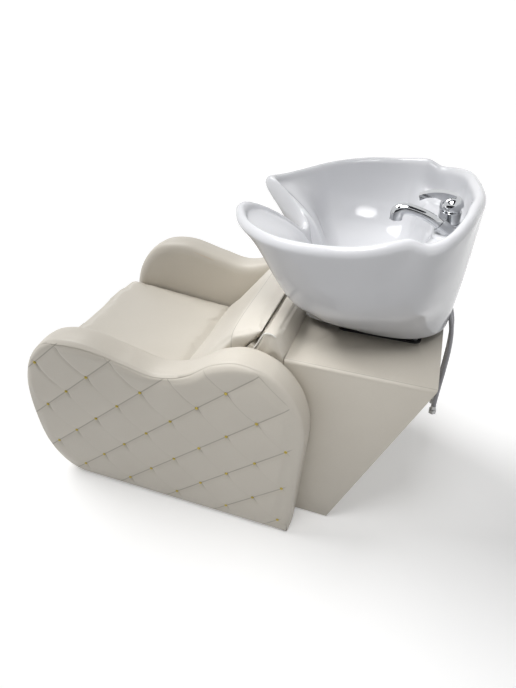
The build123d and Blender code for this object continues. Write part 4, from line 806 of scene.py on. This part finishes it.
def basin_ring(angle):
    """One radial section of the basin as a closed row of (radius, height)."""
    outer_share, lip_share, foot_share, rim_share, ledge, front = section_at(angle)
    outer, lip = outer_share * half_width, lip_share * half_width
    inner, foot_r = outer - lip, foot_share * half_width
    lip_z = basin_foot + rim_share * basin_rise - lip_rise
    floor_z = basin_foot + floor_rise
    under_z = floor_z - wall
    reach, deep, flare, rise = inner - hole, lip_z - floor_z, outer - foot_r, lip_z - basin_foot
    seat = [(radius, floor_z + height) for radius, height in drain_seat]
    inner_side = [Vector((drain_edge, floor_z + drain_edge_rise))]
    horn = max(0.0, min(1.0, (outer_share - horn_start) / (horn_full - horn_start)))
    horn *= 1 - ease(*horn_fade, angle)
    for plain, formed, horned in zip(bowl, tap_ledge, horn_bowl):
        a, b = shared(shared(plain, formed, ledge), horned, horn)
        inner_side.append(Vector((hole + a * reach, floor_z + b * deep)))
    inner_side.append(Vector((inner, lip_z)))
    row = [(point.x, point.y) for point in through(inner_side, inside_spacing)[:-1]]
    centre = (inner + outer) / 2
    for turn in range(lip_steps + 1):
        sweep = turn * math.pi / lip_steps
        row.append((centre - lip / 2 * math.cos(sweep), lip_z + lip_rise * math.sin(sweep)))
    outer_side = [Vector((outer, lip_z))]
    low_share = shared(shared(skirt[-2], front_skirt[-2], front), horn_low, horn)
    for plain, formed, horned in zip(skirt, front_skirt, horn_skirt):
        b, a = shared(shared(plain, formed, front), horned, horn)
        outer_side.append(Vector((foot_r + a * flare, basin_foot + b * rise)))
    outer_side.append(Vector((foot_r, basin_foot + foot_edge)))
    row += [(point.x, point.y) for point in through(outer_side, outside_spacing)[1:]]
    side_z, side_r = shared(shared(hollow_side, hollow_side_ledge, ledge), hollow_side_front, front)
    side_z, side_r = shared((side_z, side_r), horn_hollow, horn)
    row += [(foot_r - foot_edge, basin_foot), (foot_r - wall + foot_edge, basin_foot)]
    row.append((foot_r - wall, basin_foot + foot_edge))
    row.append((foot_r + low_share[1] * flare - wall, basin_foot + low_share[0] * rise))
    row.append((foot_r + side_r * flare - wall, basin_foot + side_z * rise))
    for plain, formed, horned in zip(under, under_ledge, under_horn):
        a, b = shared(shared(plain, formed, ledge), horned, horn)
        row.append((hole + a * reach, floor_z + b * deep - wall))
    return seat + row + [(boss, under_z), (boss, under_z - boss_depth), (hole, under_z - boss_depth)]


def even(row, count, start, stop):
    """The run of a ring from start to stop, in count even steps, so that all rings match."""
    return at([Vector(point) for point in row[start:stop]], steps(count)[:-1])


china = Finish("glazed_china", specular_ior_level=0.30, coat_weight=0.2, coat_roughness=0.04)
china.surface("Roughness", 0.08 + 0.05 * china.noise(30.0))
glaze, pale_glaze = (0.575, 0.58, 0.60, 1.0), (0.605, 0.61, 0.63, 1.0)
china.surface("Base Color", china.between(china.noise(6.0), glaze, pale_glaze))
china.relief(china.noise(35.0, 2.0), 0.0005, 0.05)
turns, inside_steps, outside_steps = 168, 34, 30
points, faces, lines = [], [], []
for turn in range(turns):
    around = 360 * turn / turns
    ring = basin_ring(min(around, 360 - around))
    lip_start = max(range(len(ring)), key=lambda i: ring[i][1]) - lip_steps // 2
    lip_end = lip_start + lip_steps
    foot_at = min(i for i in range(lip_end, len(ring)) if ring[i][1] < basin_foot + foot_edge * 1.2)
    line = [Vector(point) for point in ring[: len(drain_seat)]]
    line += even(ring, inside_steps, len(drain_seat), lip_start + 1)
    line += [Vector(point) for point in ring[lip_start:lip_end]]
    line += even(ring, outside_steps, lip_end, foot_at + 1)
    line += [Vector(point) for point in ring[foot_at:]]
    lines.append(line)
size = len(lines[0])
blur_passes, blur_share, blur_turn, blur_skirt = 14, 0.5, (34.0, 60.0), (52, 62)
for _ in range(blur_passes):
    blurred = []
    for turn, line in enumerate(lines):
        around = 360 * turn / turns
        share = blur_share * ease(*blur_turn, min(around, 360 - around))
        mix = zip(lines[turn - 1], line, lines[(turn + 1) % turns])
        blurred.append([b.lerp((a + c) / 2, share * ease(*blur_skirt, k)) for k, (a, b, c) in enumerate(mix)])
    lines = blurred
for turn, line in enumerate(lines):
    turned = 2 * math.pi * turn / turns
    for point in line:
        points.append((point.x * math.sin(turned), basin_y - point.x * math.cos(turned), point.y))
for i in range(turns):
    j = (i + 1) % turns
    for k in range(size):
        m = (k + 1) % size
        faces.append((i * size + k, i * size + m, j * size + m, j * size + k))
slab_sides = 48


def slab(centre_x, centre_y, half_long, half_wide, rings):
    """A rounded slab as rings of (spread, height), closed at both ends, added to the lists of the basin."""
    base = len(points)
    for spread, height in rings:
        for turn in range(slab_sides):
            angle = turn / slab_sides * 2 * math.pi
            x, y = math.cos(angle), math.sin(angle)
            side = (half_long - half_wide) * (1 if x > 0 else -1)
            radius = half_wide + spread
            points.append((centre_x + side + radius * x, centre_y + radius * y, height))
    faces.extend(ringed(base, len(rings), slab_sides))
    faces.append(tuple(base + turn for turn in range(slab_sides - 1, -1, -1)))
    top = base + (len(rings) - 1) * slab_sides
    faces.append(tuple(top + turn for turn in range(slab_sides)))


mixer_x, mixer_y, raised_half_long, raised_half_wide = 0.028, 0.5079, 0.062, 0.027
raised_rings = [(0.0, 0.840), (0.006, 0.848), (0.0045, 0.8515), (0.002, 0.8528), (0.0006, 0.8540)]
raised_rings += [(0.0, 0.8548), (-0.0004, 0.8555), (-0.0014, 0.8560)]
slab(mixer_x, mixer_y, raised_half_long, raised_half_wide, raised_rings)
foot_side, foot_radius, foot_low, foot_bevel = 0.060, 0.015, 0.6230, 0.001
for y, top in ((0.2979, 0.684), (0.4019, 0.689)):
    for x in (foot_side, -foot_side):
        foot_rings = [(-foot_bevel, foot_low), (0.0, foot_low + foot_bevel), (0.0, top)]
        slab(x, y, foot_radius, foot_radius, foot_rings)
basin = solid("glazed_basin", points, faces)
refine(basin)
show(basin, china, "tilting_basin")
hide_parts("basin")


# Tilting gear: pressed steel bracket and cradle in black powder coat, with a plated pin, nut and bolts, and
# moulded rubber for the pads, stops and seals.
powder = Finish("black_powder_coat", base_color=(0.022, 0.022, 0.024, 1.0))
powder.surface("Roughness", 0.38 + 0.16 * powder.noise(260.0, 3.0))
powder.relief(powder.noise(1500.0), 0.0002, 0.35)
dress(powder, "tilt_bracket", "tilt_cradle")
zinc = Finish("zinc_plated_steel", metallic=1.0)
rubbed = zinc.noise(300.0, 3.0, zinc.stretched(1.0, 1.0, 0.15))
zinc.surface("Base Color", zinc.between(rubbed, (0.42, 0.42, 0.43, 1.0), (0.62, 0.62, 0.61, 1.0)))
zinc.surface("Roughness", 0.24 + 0.2 * rubbed)
dress(zinc, "bracket_bolts", "tilt_pin", "tilt_pin_nut", "arm_bolts", "cradle_bolts", "mixer_stud")
dress(zinc, "mixer_washer", "mixer_nut", "shower_holder_nut", "hose_ferrules", "hose_nuts")
rubber = Finish("black_rubber", base_color=(0.022, 0.022, 0.023, 1.0))
rubber.surface("Roughness", 0.68 + 0.2 * rubber.noise(200.0))
rubber.relief(rubber.noise(1200.0), 0.0003, 0.4)
dress(rubber, "tilt_stops", "basin_pads", "waste_seal", "mixer_gasket")


# Taps and waste: cast brass with bright chrome plate, polished before plating, so it is smooth with a faint
# haze. Cartridge and spray face are white plastic, and the waste tail is the black nylon of the glides.
chrome = Finish("bright_chrome", metallic=1.0)
haze = chrome.noise(60.0, 3.0)
chrome.surface("Base Color", chrome.between(haze, (0.50, 0.51, 0.53, 1.0), (0.60, 0.61, 0.62, 1.0)))
chrome.surface("Roughness", 0.05 + 0.06 * haze)
dress(chrome, "waste_flange", "hair_strainer", "mixer_body", "mixer_swivel", "mixer_lever")
dress(chrome, "shower_holder", "hand_shower")
spray = Finish("white_spray_plastic", base_color=(0.82, 0.83, 0.84, 1.0), specular_ior_level=0.5)
spray.surface("Roughness", 0.30 + 0.1 * spray.noise(300.0))
nozzles = spray.add("ShaderNodeTexVoronoi", None, {"Vector": spray.place(), "Scale": 300.0})
spray.relief(nozzles, 0.0005, 0.5)
dress(spray, "mixer_cartridge", "shower_spray_face")
dress(nylon, "waste_tail")


# Supply hoses: rubber tube in a woven steel sleeve, crimped into ferrules, hanging from the mixer down behind
# the plinth to their loose nuts.
braid = Finish("steel_braid", metallic=0.85)
woven = {"Vector": braid.place(), "Scale": 130.0, "Distortion": 1.5}
weave = braid.add("ShaderNodeTexWave", {"bands_direction": "Z"}, woven)
braid.surface("Base Color", braid.between(weave, (0.16, 0.16, 0.17, 1.0), (0.46, 0.46, 0.48, 1.0)))
braid.surface("Roughness", 0.38 + 0.14 * weave)
braid.relief(weave, 0.0008, 0.6)
hose_line = [(0.008, 0.506, 0.8575), (0.008, 0.506, 0.790), (0.013, 0.522, 0.722), (0.018, 0.547, 0.660)]
hose_line += [(0.022, 0.574, 0.600), (0.023, 0.583, 0.530), (0.0225, 0.584, 0.450), (0.0225, 0.583, 0.372)]
hose_line += [(0.0225, 0.583, 0.300)]
for supply, sign in (("hot", 1), ("cold", -1)):
    hose = tube(f"{supply}_hose", hose_line, sign, radius=0.006, roundness=4, fineness=8)
    show(hose, braid, "tilting_basin")
    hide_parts(f"{supply}_supply_hose")


# Studio: a plain pale floor and background, two dark flags that only reflections show, a wide soft sun from
# the front, a small lamp over the basin, and the camera of the view.
floor_finish = Finish("studio_floor")
floor_finish.surface("Roughness", 0.9)
pale, paler = (0.92, 0.92, 0.92, 1.0), (0.94, 0.94, 0.94, 1.0)
floor_finish.surface("Base Color", floor_finish.between(floor_finish.noise(0.8), pale, paler))


def shown_rays(shading):
    """1 for rays of the camera, reflections and clear pieces, 0 for the light that surfaces gather."""
    rays = ("Is Camera Ray", "Is Glossy Ray", "Is Transmission Ray")
    seen, shone, passed = [shading.add("ShaderNodeLightPath", out=ray) for ray in rays]
    return seen + shone + passed


glow, ambient = 0.25, 0.28
glowing = {"Color": (1.0, 1.0, 1.0, 1.0), "Strength": glow * shown_rays(floor_finish)}
floor_glow = floor_finish.add("ShaderNodeEmission", None, glowing)
lit = Term(floor_finish, floor_finish.shader.outputs[0])
floor_light = floor_finish.add("ShaderNodeAddShader", None, {0: lit, 1: floor_glow})
floor_finish.feed(floor_finish.tree.nodes["Material Output"].inputs[0], floor_light)
reach = 90.0
corners = [(-reach, -reach, 0), (reach, -reach, 0), (reach, reach, 0), (-reach, reach, 0)]
floor = solid("studio_floor", corners, [(0, 1, 2, 3)])
floor.data.materials.append(floor_finish.material)
flag_finish = Finish("dark_flag", base_color=(0.035, 0.035, 0.04, 1.0), roughness=1.0, specular_ior_level=0.0)
flags = {
    "side_flag": [(2.4, -2.6, 0.0), (2.4, 3.0, 0.0), (2.4, 3.0, 2.1), (2.4, -2.6, 2.1)],
    "roof_flag": [(0.15, -1.2, 2.7), (2.2, -1.2, 2.7), (2.2, 1.3, 2.7), (0.15, 1.3, 2.7)],
}
for name, corners in flags.items():
    flag = solid(name, corners, [(0, 1, 2, 3)])
    flag.data.materials.append(flag_finish.material)
    flag.visible_camera = flag.visible_diffuse = flag.visible_shadow = flag.visible_transmission = False

world = bpy.data.worlds.new("studio")
world.use_nodes = True
bpy.context.scene.world = world
sky = Shading(world.node_tree)
background = sky.tree.nodes["Background"]
background.inputs["Color"].default_value = (1.0, 1.0, 1.0, 1.0)
sky.feed(background.inputs["Strength"], ambient + (1.0 - ambient) * shown_rays(sky))

window = bpy.data.lights.new("window", "SUN")
window.angle = math.radians(33.0)
window.energy = 2.1
over_basin = bpy.data.lights.new("over_basin", "AREA")
over_basin.shape = "DISK"
over_basin.size = 0.6
over_basin.spread = math.radians(60.0)
over_basin.energy = 1.7
for data, place, travel in (
    (window, (-0.3, -1.9, 2.4), (0.12, 0.60, -0.79)),
    (over_basin, (0.62, 0.30, 1.85), (-0.56, 0.03, -1.10)),
):
    lamp = placed(data.name, data)
    lamp.location = place
    lamp.rotation_euler = Vector(travel).to_track_quat("-Z", "Y").to_euler()

view = bpy.data.cameras.new("view")
view.sensor_width = 36.0
view.lens = 26.02
view.shift_x = -0.0068
camera = placed("view", view)
camera.location = (1.2053, 0.4580, 1.3200)
camera.rotation_euler = (math.radians(90 - 36.0), 0.0, math.radians(109.0))
bpy.context.scene.camera = camera
bpy.context.scene.view_settings.view_transform = "Standard"
